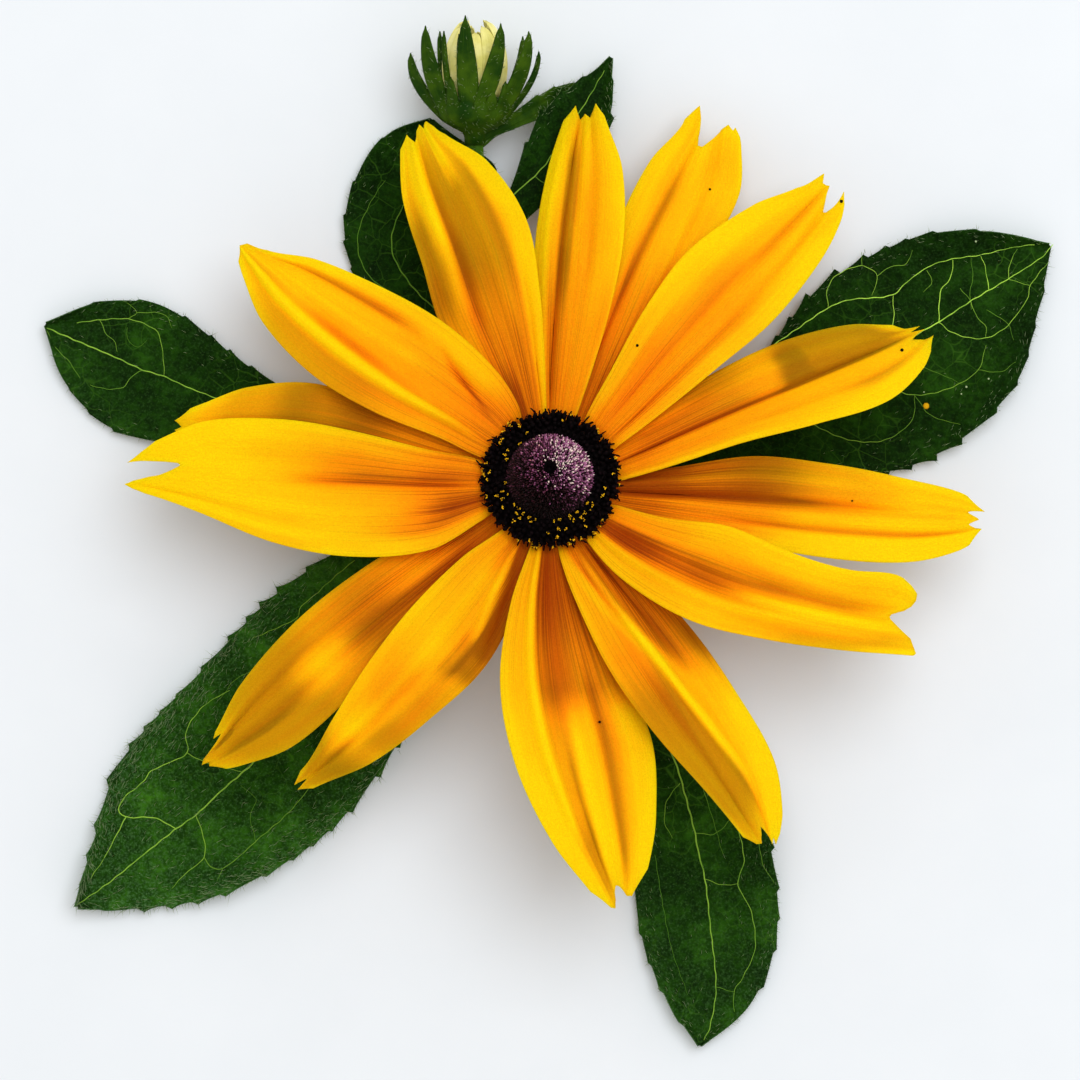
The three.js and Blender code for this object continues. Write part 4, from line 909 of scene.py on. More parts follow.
profile = [(0, DOME_FOOT)]
profile += [(0.98 * girth[k], DOME_FOOT + DOME_HEIGHT * math.sin(rise[k])) for k in range(0, 360, 24)]
profile += [(r, DOME_FOOT + DOME_HEIGHT - deep) for r, deep in ((0.7, 0.2), (0.35, 1.1), (0, 1.5))]
points, faces = turned(profile)
piece("dome_core", from_head(points), faces, floret_finish, "disc")
print("florets on the dome:", count)

# %% [markdown]
# The open florets stand round the dome in rows that lean further out the lower they are. Each is a
# narrow black tube. Short styles curl from many of them, and pollen sticks to the ones that opened
# last.

# %% Open florets, styles and pollen
RING_ROWS = [  # radius and height of the foot, lean from the axis in degrees, count, length
    (6.35, 1.55, 84, 84, 1.3), (6.4, 1.8, 70, 76, 1.35), (6.3, 2.0, 55, 62, 1.3), (6.0, 2.15, 40, 58, 1.25),
    (5.65, 2.25, 28, 54, 1.2), (5.3, 2.3, 14, 50, 1.1), (5.0, 2.2, 4, 46, 1.1)]
OPEN_FLORET = form([0.75, 0.8, 1.0, 1.15, 0.55], [0.0, 0.35, 0.7, 0.85, 0.95], 6)
feet, leans, longs = [], [], []
for row, (radius, height, tilt, count, long) in enumerate(RING_ROWS):
    turn = round_turn(count) + 0.5 * row * 2 * np.pi / count + dice.normal(0, 0.02, count)
    tilt = np.radians(tilt + dice.normal(0, 6, count))
    outward = np.stack([np.cos(turn), np.sin(turn), 0 * turn], -1)
    feet.append(radius * outward + (0, 0, height))
    leans.append(np.sin(tilt)[:, None] * outward + np.cos(tilt)[:, None] * (0, 0, 1))
    longs.append(long * dice.uniform(0.75, 1.15, count))
feet, leans, longs = (np.concatenate(x) for x in (feet, leans, longs))
points, faces, marks = scattered(OPEN_FLORET, feet, leans, longs, dice.uniform(0.2, 0.28, len(feet)))
piece("ring_florets", from_head(points), faces, floret_finish, "floret", ["disc_ring"], **marks)

STYLE = form([0.7, 0.9, 1.0, 0.7], [0.0, 0.35, 0.75, 0.95], 5)
STRAY_STYLES = 150
tops = feet + leans * (0.9 * longs)[:, None]
lowest = np.arange(RING_ROWS[0][3])
pick = np.concatenate([lowest, lowest[::3], dice.permutation(len(feet))[:STRAY_STYLES]])
astray = leans[pick] + dice.normal(0, 0.45, (len(pick), 3))
points, faces, marks = scattered(STYLE, tops[pick], astray, dice.uniform(0.22, 0.52, len(pick)), 0.11,
                                 bend=dice.normal(0, 0.6, (len(pick), 3)))
piece("floret_styles", from_head(points), faces, floret_finish, "floret", **marks)

GRAIN = form([0.75, 1.0, 0.75], [-0.5, 0.0, 0.5], 5)
GRAINS_IN_CLOT = 6
out = unit(feet[:, :2])
inner = np.linalg.norm(feet[:, :2], axis=1) < 5.8
in_front, behind = np.where(inner, 0.42, 0.12), np.where(inner, 0.06, 0.26 * np.abs(out[:, 0]))
chance = np.where(out[:, 1] < -0.15, in_front, behind)
clot = np.repeat(np.flatnonzero(dice.random(len(feet)) < chance), GRAINS_IN_CLOT)
spots = tops[clot] + leans[clot] * 0.15 + dice.normal(0, 0.09, (len(clot), 3))
points, faces, marks = scattered(GRAIN, spots, dice.normal(0, 1, (len(clot), 3)), 0.085,
                                 dice.uniform(0.055, 0.1, len(clot)), own=dice.random(len(clot)))
piece("pollen_clots", from_head(points), faces, pollen_finish, "floret", **marks)

points, faces = turned([(0, 0.75), (4.3, 0.75), (6.5, 1.15), (6.95, 1.6), (6.5, 2.1), (5.6, 2.6),
                        (4.9, 2.7), (0, 2.4)])
piece("ring_core", from_head(points), faces, floret_finish, "floret")
print("open florets:", len(feet), "styles:", len(pick), "pollen grains:", len(clot))

# %% [markdown]
# ## Under the head
# A shallow green cup holds the disc and the rays, with two rows of narrow hairy bracts below it.
# They hardly show from above, but the flower is seen from every side.

# %% Cup and bracts
HEAD_BRACTS, BRACT_THICKNESS = 26, 0.5


def bract_surface(angle, half, path, hollow=0.25, foot=0.3, lean=0.0, twist=0.0):
    """A pointed bract that leaves the axis at an angle. path(s) gives its radius and height. The
    smaller its foot, the further out it is widest. lean shifts its foot sideways, twist turns it
    on its own midline."""
    out = np.array([math.cos(angle), math.sin(angle)])
    side = np.array([-math.sin(angle - twist), math.cos(angle - twist)])

    def surface(s, v):
        radius, height = path(s)
        belly = (0.25 + 0.75 * np.sin(np.pi * (foot + (1 - foot) * s))) * (1 - 0.8 * ease(0.9, 1, s))
        across = v * half * belly
        flat = out * radius[..., None] + side * (across + lean * (1 - s) ** 1.5)[..., None]
        height = height + hollow * np.abs(across) - 0.075 * np.abs(v) ** 0.5 * half
        return np.concatenate([flat, height[..., None]], -1)

    return surface


def bract(to_plan, path, angle, half, rows, columns, thickness=BRACT_THICKNESS, **shape):
    surface = bract_surface(angle, half, path, **shape)
    return blade(lambda s, v: to_plan(surface(s, v)), rows, columns, thickness)


def head_bract_path(start, long, level, drop):
    """Outwards from the cup, and down in a bow."""
    return lambda s: (start + long * s, level - drop * s**2 * (1.6 - 0.6 * s))


CUP = [(0, -5.4), (1.65, -5.4), (2.0, -4.9), (2.6, -4.4), (3.7, -3.6), (4.8, -2.9), (5.6, -2.0),
       (5.7, -1.3), (5.6, -0.75), (4.5, -0.72), (4.4, 0.6), (0, 0.6)]
cup_points, cup_faces = turned(CUP)
head_bracts = [(from_head(cup_points), cup_faces, {})]
for k in range(HEAD_BRACTS):
    outer = k % 2 == 0
    long = 12.5 * (1.0 if k % 4 == 0 else 0.8 if outer else 0.62)
    path = head_bract_path(3.2, long, -2.35, 3.4) if outer else head_bract_path(3.4, long, -1.85, 1.6)
    head_bracts.append(bract(from_head, path, 2 * np.pi * k / HEAD_BRACTS, 1.35 if outer else 1.1, 20, 8))
head_bract_form = points, faces, marks = together(head_bracts)
piece("cup_and_bracts", points, faces, bract_finish, "bract", ["involucre"], **marks)
print("bracts under the head:", HEAD_BRACTS)

# %% [markdown]
# ## Stem and bud stalk
# Both are ribbed and bristly. The stem ends in a clean cut on the surface. Its line and the stalk's
# are the same curves as the model's.

# %% Stem and stalk
STEM_RADIUS, STALK_RADIUS, GAP = 1.55, 0.95, 0.32
CUP_FOOT = CUP[0][1]
head_foot = from_head([[0, 0, CUP_FOOT - 3], [0, 0, CUP_FOOT - GAP]])
STEM_CURVE = ((*STEM_FOOT, 0), (*STEM_FOOT, 3), head_foot[0], head_foot[1])
BUD_BASE, BUD_RISE = np.array([-8.4, 39.0, 6.9]), math.radians(6)
BUD_AXIS = np.array([0, math.cos(BUD_RISE), math.sin(BUD_RISE)])
STALK_CURVE = ((-0.6, -0.22, 5.6), (-4.2, 11, 3.6), BUD_BASE - 12 * BUD_AXIS, BUD_BASE - GAP * BUD_AXIS)


def ribbed(curve, radius, rows, sides, ribs):
    line = bezier(*curve, np.linspace(0, 1, rows))
    line = np.concatenate([line, line[-1:] + 0.9 * directions(line)[-1:]])
    angle = round_turn(sides)[:, None]
    size = radius * (1 + 0.05 * np.cos(ribs * angle) + 0.02 * np.sin(9 * line[None, :, 1] + 2 * angle))
    points, faces, marks = tube(line, size, sides)
    points[:, 2] = np.maximum(points[:, 2], 0)
    marks["across"] = np.concatenate([np.tile(np.arange(sides) / sides, len(line)), [0, 0]])
    return points, faces, marks


stem = points, faces, marks = ribbed(STEM_CURVE, STEM_RADIUS, 40, 40, 10)
piece("ribbed_stem", points, faces, stem_finish, "stem", ["stem"], **marks)
stalk = points, faces, marks = ribbed(STALK_CURVE, STALK_RADIUS, 120, 28, 7)
piece("ribbed_stalk", points, faces, stem_finish, "stem", ["bud_stalk"], **marks)
print("stem and stalk made")

# %% [markdown]
# ## The leaves
# A leaf is thin, coarsely toothed and waved along its margins. Its table row gives the curve that
# carries it and the share of the curve where it leaves, its tip and bow, half widths, the share of
# its length where it comes down to the surface, the curl of its tip, the slope of its halves, the
# waves of its margin, how closely it is toothed, and, where they aren't the usual, how large the
# teeth are and how deep its foot is sunk in what carries it.

# %% Table of leaves
LEAVES = {
    "leaf_right": dict(on="stem", at=0.24, tip=(56.4, 26.9), bow=-5,
        left=(2.2, 5.6, 10.4, 9.7, 5.6), right=(2.6, 7.6, 12.4, 10.8, 4.9),
        land=0.3, curl=1.2, keel=0.1, wave=(0.8, 2.5), teeth=11),
    "leaf_left": dict(on="stem", at=0.34, tip=(-56.9, 18.0), bow=2.9,
        left=(1.5, 3.1, 5.2, 7.6, 5.0), right=(1.4, 2.8, 4.7, 7.4, 5.0),
        land=0.3, curl=1.0, keel=0.1, wave=(0.5, 2), teeth=9, jag=0.5),
    "leaf_lower": dict(on="stem", at=0.16, tip=(-53.3, -47.7), bow=2,
        left=(3.6, 7.8, 10.8, 8.7, 4.4), right=(10.5, 13.6, 12.3, 10.0, 4.4),
        land=0.25, curl=1.6, keel=0.1, wave=(1.1, 3), teeth=12),
    "leaf_bottom": dict(on="stem", at=0.42, tip=(16.9, -63.4), bow=12,
        left=(3.0, 6.0, 7.9, 8.3, 5.5), right=(2.8, 5.8, 7.4, 7.2, 4.3),
        land=0.35, curl=0.8, keel=0.13, wave=(0.6, 2), teeth=9),
    "stalk_leaf_outer": dict(on="stalk", at=0.36, tip=(-13.3, 41.2), bow=10.5,
        left=(2.8, 6.8, 8.0, 6.3, 3.9), right=(2.2, 4.4, 6.6, 8.5, 8.0),
        land=0.35, curl=0.2, keel=0.1, wave=(0.4, 1.5), teeth=6, jag=0.4),
    "stalk_leaf_inner": dict(on="stalk", at=0.7, tip=(6.9, 48.0), bow=0,
        left=(1.6, 2.6, 3.3, 2.0, 0.7), right=(1.8, 3.4, 4.4, 3.1, 1.3),
        land=1.6, curl=0.8, keel=0.25, wave=(0.2, 1), teeth=4),
    "bud_leaflet": dict(on="stalk", at=0.985, tip=(3.6, 45.2), bow=-0.6,
        left=(0.8, 1.0, 1.3, 1.2, 0.7), right=(0.5, 0.7, 0.9, 0.8, 0.5),
        land=1.2, curl=0, keel=0.5, wave=(0, 1), teeth=3, sunk=2.0),
}
print("leaves in the table:", len(LEAVES))

# %% [markdown]
# The surface follows the model's leaf and adds finer teeth. The leaf is thinner than the model's
# solid, so its middle lies lower by half the difference and it still rests on the surface.

# %% Leaf surface
LEAF_STATIONS = (0, 0.06, 0.2, 0.4, 0.6, 0.8, 0.92, 1)
LEAF_THICKNESS, FLAT_SHARE = 0.4, 0.4
CLEAR_OF_GROUND, LANDED = 0.03, 0.33  # heights of the underside and of the model's midrib on the surface


def leaf_surface(leaf, seed):
    curve, radius = (STEM_CURVE, STEM_RADIUS) if leaf["on"] == "stem" else (STALK_CURVE, STALK_RADIUS)
    line = bezier(*curve, np.linspace(0, 1, 400))
    run = lengths_along(line)
    place, heading = (np.array([np.interp(leaf["at"] * run[-1], run, column) for column in values.T])
                      for values in (line, directions(line)))
    heading = unit(heading)
    side = spine(place[:2], leaf["tip"], leaf["bow"])(0.0)[1]
    aim = np.array([side[1], -side[0]])
    away = unit(aim - heading[:2] * (aim @ heading[:2]))
    root = place[:2] + away * (radius + GAP + 0.8 * abs(aim @ heading[:2]) - leaf.get("sunk", 0.5))
    middle = spine(root, leaf["tip"], leaf["bow"])
    left, right = (0.8, 1.0, *leaf["left"], 0.2), (0.8, 1.0, *leaf["right"], 0.2)

    def surface(s, v):
        point, side = middle(s)
        half = np.where(v > 0, through(LEAF_STATIONS, left, s), through(LEAF_STATIONS, right, s))
        count = s * leaf["teeth"] * 1.7 + 0.3 * np.sin(2.1 * s * leaf["teeth"] + seed + np.sign(v))
        saw = (count % 1) ** 2.5 * (0.7 + 0.3 * np.sin(7 * np.floor(count) + seed))
        tooth = (0.75 * saw - 0.1) * ease(0.2, 0.35, s) * (1 - ease(0.95, 1, s)) * np.abs(v) ** 14
        across = v * half + np.sign(v) * tooth * leaf.get("jag", 1.0) * np.minimum(1, half / 4)
        aside = np.maximum(0, np.abs(v) - FLAT_SHARE) / (1 - FLAT_SHARE)
        drop = (place[2] - LANDED) * (1 - ease(0.02, leaf["land"], s))
        keel = leaf["keel"] * aside * half * ease(0, 0.2, s)
        turns = 2 * np.pi * leaf["wave"][1] * s + np.where(v > 0, 0, 2)
        wave = leaf["wave"][0] * aside**2 * (1 + np.sin(turns)) * ease(0.2, 0.4, s)
        curl = leaf["curl"] * ease(0.75, 1, s) ** 2
        z = LEAF_THICKNESS / 2 + CLEAR_OF_GROUND + drop + keel + wave + curl
        return np.concatenate([point + side * across[..., None], z[..., None]], -1)

    return surface


LEAF_SURFACES = {name: leaf_surface(leaf, seed) for seed, (name, leaf) in enumerate(LEAVES.items())}
print("leaf surfaces ready")

# %% Build the leaves
FRESH = {"leaf_lower": 1.0, "leaf_bottom": 0.5, "leaf_left": 0.25, "leaf_right": 0.12}
SLIGHTLY_FRESH = 0.1  # all others
LARGE_GRID, SMALL_GRID = (180, 72), (90, 32)
leaf_meshes = {}
for name, surface in LEAF_SURFACES.items():
    grid = SMALL_GRID if name in ("bud_leaflet", "stalk_leaf_inner") else LARGE_GRID
    points, faces, marks = blade(surface, *grid, LEAF_THICKNESS)
    points[:, 2] = np.maximum(points[:, 2], 0.02)
    marks["fresh"] = np.full(len(points), FRESH.get(name, SLIGHTLY_FRESH))
    leaf_meshes[name] = points, faces, marks
    skin = bract_finish if name == "bud_leaflet" else leaf_finish
    piece("dressed_" + name, points, faces, skin, "leaf", [name], **marks)
print("leaves made:", len(leaf_meshes))

# %% [markdown]
# Veins lie half sunk in the leaf, pale against it. Each is a thin tube draped over the leaf's own
# points, so it follows every wave. They are drawn on a plan seen from straight above, with nine
# steps to the millimetre, counted right and down from the corner of the view. Each leaf has a
# number for how well its veins show, and a row for each vein: its radius in millimetres, how faint
# it is, and its points.

# %% Table of veins
VEINS = {
    "leaf_right": (1.0, [
        (0.16, 0, [(700, 440), (780, 400), (860, 366), (928, 328), (939, 322), (971, 301), (1008, 279),
            (1043, 256), (1054, 242)]),
        (0.11, 0, [(730, 385), (760, 355), (794, 331), (828, 308), (849, 300), (892, 295), (908, 281),
            (930, 266), (953, 259), (981, 255), (1011, 248), (1050, 243)]),
        (0.10, 0, [(860, 366), (878, 352), (893, 325), (893, 295)]),
        (0.10, 0, [(939, 322), (941, 291), (951, 277), (953, 260)]),
        (0.09, 0, [(989, 290), (985, 267), (981, 256)]),
        (0.08, 0.3, [(1008, 279), (1010, 263), (1017, 249)]),
        (0.08, 0.2, [(828, 308), (827, 289), (837, 275), (862, 266), (877, 276), (872, 295)]),
        (0.07, 0.4, [(877, 276), (890, 267), (906, 264), (912, 250)]),
        (0.07, 0.5, [(862, 266), (861, 252)]),
        (0.09, 0.2, [(939, 322), (950, 331), (966, 337), (986, 338), (1005, 328), (1017, 314),
            (1027, 299), (1030, 286), (1039, 273), (1048, 262)]),
        (0.08, 0.4, [(1008, 279), (1030, 286)]),
        (0.08, 0.4, [(971, 301), (976, 315), (986, 327), (986, 338)]),
        (0.09, 0.4, [(860, 366), (885, 385), (915, 395), (950, 388), (978, 370), (986, 345)]),
        (0.09, 0.5, [(780, 400), (815, 425), (850, 440), (885, 440), (912, 420), (915, 395)]),
        (0.07, 0.6, [(971, 301), (970, 289), (973, 281), (971, 258)]),
        (0.07, 0.6, [(915, 395), (930, 415), (960, 425)]),
        (0.07, 0.6, [(978, 370), (1000, 372), (1015, 362)]),
        (0.07, 0.5, [(927, 270), (932, 283), (923, 292)]),
        (0.07, 0.5, [(960, 288), (970, 300), (972, 310)]),
        (0.07, 0.6, [(987, 310), (1008, 324), (1013, 340)]),
        (0.07, 0.7, [(923, 367), (945, 376), (962, 384)])]),
    "leaf_lower": (0.6, [
        (0.17, 0.1, [(330, 690), (290, 725), (253, 763), (220, 792), (197, 814), (176, 829), (143, 855),
            (107, 884), (72, 908)]),
        (0.11, 0, [(176, 829), (154, 818), (126, 817), (119, 810), (124, 798), (143, 782), (150, 772),
            (168, 763), (187, 753), (186, 735), (189, 725), (205, 705), (230, 690)]),
        (0.10, 0, [(126, 817), (115, 838), (105, 857), (91, 878)]),
        (0.09, 0.2, [(187, 753), (202, 761), (225, 768), (243, 772)]),
        (0.10, 0.2, [(196, 816), (203, 836), (204, 857), (185, 874), (172, 888)]),
        (0.10, 0.4, [(204, 857), (211, 867), (223, 868), (242, 854), (256, 841), (284, 817), (303, 796),
            (322, 770)]),
        (0.07, 0.5, [(223, 868), (218, 880)]),
        (0.07, 0.6, [(256, 841), (250, 815), (256, 800), (240, 785)]),
        (0.09, 0.2, [(355, 560), (338, 574), (315, 595), (301, 607), (298, 617), (270, 631),
            (253, 638)]),
        (0.08, 0.5, [(298, 617), (285, 640), (262, 665), (235, 680), (220, 700)])]),
    "leaf_left": (0.66, [
        (0.14, 0.1, [(47, 328), (70, 338), (117, 358), (143, 370), (163, 376), (187, 387), (213, 397),
            (270, 420)]),
        (0.10, 0.2, [(77, 323), (100, 320), (128, 319), (147, 325), (158, 333), (163, 357),
            (164, 376)]),
        (0.08, 0.4, [(100, 320), (107, 335), (115, 342), (117, 352)]),
        (0.07, 0.4, [(128, 319), (137, 313), (128, 303)]),
        (0.07, 0.4, [(137, 313), (160, 313), (168, 318), (172, 328)]),
        (0.08, 0.4, [(143, 370), (133, 375), (123, 387), (107, 389), (90, 385)]),
        (0.08, 0.4, [(47, 330), (55, 347), (68, 360), (80, 378)]),
        (0.06, 0.7, [(127, 327), (128, 340), (137, 347), (147, 340)])]),
    "leaf_bottom": (0.58, [
        (0.17, 0.1, [(640, 690), (660, 730), (676, 764), (686, 798), (695, 833), (698, 850), (705, 879),
            (710, 923), (716, 987), (710, 1026), (704, 1040)]),
        (0.10, 0.2, [(731, 790), (736, 818), (744, 860), (738, 884), (751, 911), (755, 948), (744, 975),
            (734, 992), (734, 1011)]),
        (0.08, 0.3, [(705, 879), (722, 885), (738, 884)]),
        (0.07, 0.5, [(716, 987), (734, 992)]),
        (0.08, 0.4, [(696, 833), (715, 834), (732, 818)]),
        (0.08, 0.3, [(680, 783), (667, 801), (665, 824), (673, 838)]),
        (0.07, 0.5, [(700, 775), (705, 794), (715, 826), (723, 855)]),
        (0.07, 0.4, [(756, 830), (759, 845), (763, 865), (774, 882)]),
        (0.07, 0.7, [(655, 855), (662, 900), (672, 950), (688, 995)])]),
    "stalk_leaf_outer": (0.28, [
        (0.15, 0.1, [(470, 330), (425, 300), (395, 260), (392, 235), (402, 208), (420, 180),
            (432, 140)]),
        (0.09, 0.3, [(388, 291), (370, 277), (359, 255), (359, 230), (372, 200), (385, 180)])]),
    "stalk_leaf_inner": (0.5, [
        (0.13, 0.1, [(506, 205), (518, 193), (535, 178), (548, 163), (565, 135), (585, 105),
            (604, 72)]),
        (0.08, 0.4, [(535, 178), (545, 185), (560, 160), (575, 145)])]),
}
print("leaves with drawn veins:", len(VEINS))

# %% Build the veins
STEPS_PER_MM, VIEW_MIDDLE, VIEW_CENTRE = 9.0, 540, (-1.11, -6.33)
LEAF_LEVEL_SCALE = 1.016  # the leaves lie further from the eye than the level where the steps are true
VEIN_BODY = 0.58  # radius of the tube for a drawn radius of 1, because half of it is sunk


def seen(steps):
    """Places in the view, in steps, to the plan at the leaves' level."""
    right, down = (np.asarray(steps, float).T - VIEW_MIDDLE) / STEPS_PER_MM * LEAF_LEVEL_SCALE
    return np.stack([VIEW_CENTRE[0] + right, VIEW_CENTRE[1] - down], -1)


def smooth_line(corners, step=0.35):
    """A curve through the corners, with a slight tremor."""
    run = lengths_along(corners)
    along = np.linspace(0, run[-1], max(4, int(run[-1] / step)))
    line = np.stack([through(run, column, along) for column in corners.T], -1)
    return line + 0.04 * np.sin(np.outer(along, (3.1, 3.7)) + corners[0])


def draped(flat, top):
    """Lays a line drawn in plan on a leaf's upper face, by its four nearest points."""
    apart = np.linalg.norm(flat[:, None] - top[None, :, :2], axis=2)
    near = np.argsort(apart, axis=1)[:, :4]
    weight = 1 / (np.take_along_axis(apart, near, 1) + 0.05)
    height = (top[near, 2] * weight).sum(1) / weight.sum(1)
    on_leaf = apart.min(1) < 0.6
    return np.concatenate([flat, height[:, None]], -1)[on_leaf]


def vein(leaf, shows, radius, faint, steps):
    points, _, marks = leaf_meshes[leaf]
    line = draped(smooth_line(seen(steps)), points[marks["under"] < 0.5])
    taper = 1 - 0.5 * np.linspace(0, 1, len(line)) ** 2
    points, faces, marks = tube(line, VEIN_BODY * radius * taper, 6)
    return points, faces, {**marks, "faint": np.full(len(points), 1 - shows * (1 - faint) ** 1.7)}


veins = [vein(leaf, shows, *drawn) for leaf, (shows, rows) in VEINS.items() for drawn in rows]
points, faces, marks = together(veins)
piece("leaf_veins", points, faces, vein_finish, "leaf", **marks)
print("veins made:", len(veins), "with", len(faces), "faces")

# %% [markdown]
# Small accidents make the plant a real one: dark specks on some rays, and a fallen grain of pollen
# and a few pale specks on the right leaf. They are low beads, placed on the plan in the same steps
# and laid on what is there.

# %% Specks
BEAD = form([0.8, 1.0, 0.7], [-0.3, 0.2, 0.7], 8)
RAY_LEVEL_SCALE = 0.984  # the steps at the rays' level, against the leaves'
SPECKS = [  # piece that carries it, place in the view, radius
    ("petal_ray_02", (637, 346), 0.17), ("petal_ray_02", (842.5, 200), 0.2),
    ("petal_ray_01", (902, 350), 0.2), ("petal_ray_03", (711, 187), 0.14),
    ("petal_ray_11", (599, 720), 0.16), ("petal_ray_14", (851, 501), 0.12)]
FALLEN = [("dressed_leaf_right", (926, 406), 0.38)]
PALE = [("dressed_leaf_right", place, radius) for place, radius in (
    ((966, 387), 0.15), ((988, 379), 0.13), ((975, 242), 0.14), ((924, 392), 0.1), ((961, 394), 0.11))]


def beads(name, rows, level_scale, tall, skin, slot, **own):
    """Beads on top of their carriers. The higher a carrier, the less the view's steps are stretched."""
    places = []
    for carrier, step, _ in rows:
        top = np.array([v.co for v in bpy.data.objects[carrier].data.vertices]) / MM - plan_shift
        flat = VIEW_CENTRE + (seen([step])[0] - VIEW_CENTRE) * level_scale
        near = np.argsort(np.linalg.norm(top[:, :2] - flat, axis=1))[:12]
        places.append([*flat, top[near, 2].max()])
    sizes = np.array([radius for _, _, radius in rows])
    points, faces, marks = scattered(BEAD, places, [(0.05, 0, 1)] * len(rows), tall * sizes, sizes)
    piece(name, points, faces, skin, slot, **marks, **{n: np.full(len(points), x) for n, x in own.items()})
    print(name, "beads:", len(rows))


beads("dark_specks", SPECKS, RAY_LEVEL_SCALE, 0.5, floret_finish, "ray")
beads("fallen_pollen", FALLEN, 1.0, 0.6, pollen_finish, "leaf", own=0.3)
beads("pale_specks", PALE, 1.0, 0.6, hair_finish, "leaf", own=0.3)

# %% [markdown]
# ## The bud
# The bud lies on its side and points away from the bloom. A round hairy cup carries long leafy
# bracts, with a few short ones inside them. Pale rays, still rolled inwards, stand between them
# round a small green disc.

# %% Bud
YOUNG_THICKNESS, YOUNG_RAYS, YOUNG_LENGTH = 0.4, 11, 9.5


def from_bud(points):
    """Bud axes, with z along the bud, to the plan."""
    x, y, z = np.moveaxis(np.asarray(points, float), -1, 0)
    tip = math.pi / 2 - BUD_RISE
    flat = np.stack([x, y * math.cos(tip) + z * math.sin(tip), z * math.cos(tip) - y * math.sin(tip)], -1)
    return flat + BUD_BASE


def bud_bract_path(reach, long):
    return lambda s: (3.2 + (reach - 3.2) * np.sin(0.5 * np.pi * s), 1.7 + long * s)


def young_ray_path(long):
    return lambda s: (3.0 - 1.4 * s**4 + 0.4 * np.sin(4 * s), 4.2 + long * s - 0.8 * s**6)


# Radius and height of the round cup's outline, from its foot up.
BUD_CUP = [(0, -1.1), (1.12, -1.1), (1.15, -0.2), (1.35, 0.25), (2.3, 0.75), (3.3, 1.35), (4.0, 2.1),
           (4.25, 3.0), (4.1, 3.8), (3.5, 4.3), (0, 4.3)]
# Angle round the bud in degrees (-90 faces up), tip's radius, length, half width, lean, twist.
BUD_BRACTS = [
    (-174, 7.2, 7.5, 0.85, 0, -55), (-150, 6.3, 10.6, 1.05, 0, -38), (-101, 5.2, 11.8, 1.2, 0.2, 0),
    (-59, 5.7, 10.9, 1.1, -1.8, 10), (-33, 7.2, 10.0, 1.0, -0.4, 35), (6, 7.2, 7.6, 0.5, 0, 40),
    (42, 7.2, 9.2, 0.7, 0, 0), (75, 5.6, 9.8, 1.1, 0, 0), (112, 5.4, 9.6, 0.9, 0, 0),
    (142, 5.0, 9.8, 0.7, 0, 0), (-135, 4.8, 10.0, 0.4, 0, 0), (-112, 4.6, 9.7, 0.4, 0, 0),
    (-20, 6.6, 9.6, 0.45, 0, 0), (-126, 4.5, 4.9, 0.8, 0, 0), (-80, 4.4, 4.2, 0.7, 0, 0),
    (-44, 4.8, 4.4, 0.8, 0, 0), (-64, 4.5, 3.5, 0.8, 0, 0)]
cup_points, cup_faces = turned(BUD_CUP)
around = np.arctan2(cup_points[:, 1], cup_points[:, 0])
cup_points[:, :2] *= (1 + 0.035 * np.sin(13 * around) + 0.02 * np.sin(29 * around + 1))[:, None]
bud_parts = [(from_bud(cup_points), cup_faces, {})]
for angle, reach, long, half, lean, twist in BUD_BRACTS:
    bud_parts.append(bract(from_bud, bud_bract_path(reach, long), math.radians(angle), half, 28, 10,
                           hollow=-0.15, foot=0.15, lean=lean, twist=math.radians(twist)))
bud_form = points, faces, marks = together(bud_parts)
piece("bud_cup_and_bracts", points, faces, bract_finish, "bract", ["bud_involucre"], **marks)

young = []
for k in range(YOUNG_RAYS):
    path = young_ray_path(YOUNG_LENGTH * (0.92 + 0.08 * math.sin(2.1 * k)))
    angle = 2 * np.pi * (k + 0.3) / YOUNG_RAYS
    young.append(bract(from_bud, path, angle, 1.3, 22, 10, YOUNG_THICKNESS, hollow=0.35))
points, faces, marks = together(young)
piece("bud_young_rays", points, faces, young_ray_finish, "bud_ray", ["bud_rays"], **marks)
points, faces = turned([(0, 4.4), (1.7, 4.4), (1.7, 5.6), (1.2, 6.9), (0.5, 7.5), (0, 7.6)], 24)
piece("bud_young_disc", from_bud(points), faces, young_disc_finish, "bud_disc", ["bud_disc"])
print("bud made with", len(BUD_BRACTS), "bracts and", YOUNG_RAYS, "young rays")

# %% [markdown]
# ## Hairs
# The whole plant but its petals is bristly. A hair is a three-sided needle with its root sunk in
# the skin. They stand thickest along the margins and near the tips of leaves and bracts, and there
# they lean towards the tip. Blender's own hair would be lighter, but would not reach the exported
# model.

# %% Hairs
HAIR_WIDTH, SUNK_ROOT = 0.06, 0.04
LONG_HAIR, SHORT_HAIR, FRINGE_STEP = 0.95, 0.6, 0.42
HAIRY = {"leaf_lower": 1300, "leaf_bottom": 300, "leaf_left": 100, "leaf_right": 300}  # hairs on its faces
SPARSE = 100  # on the other leaves


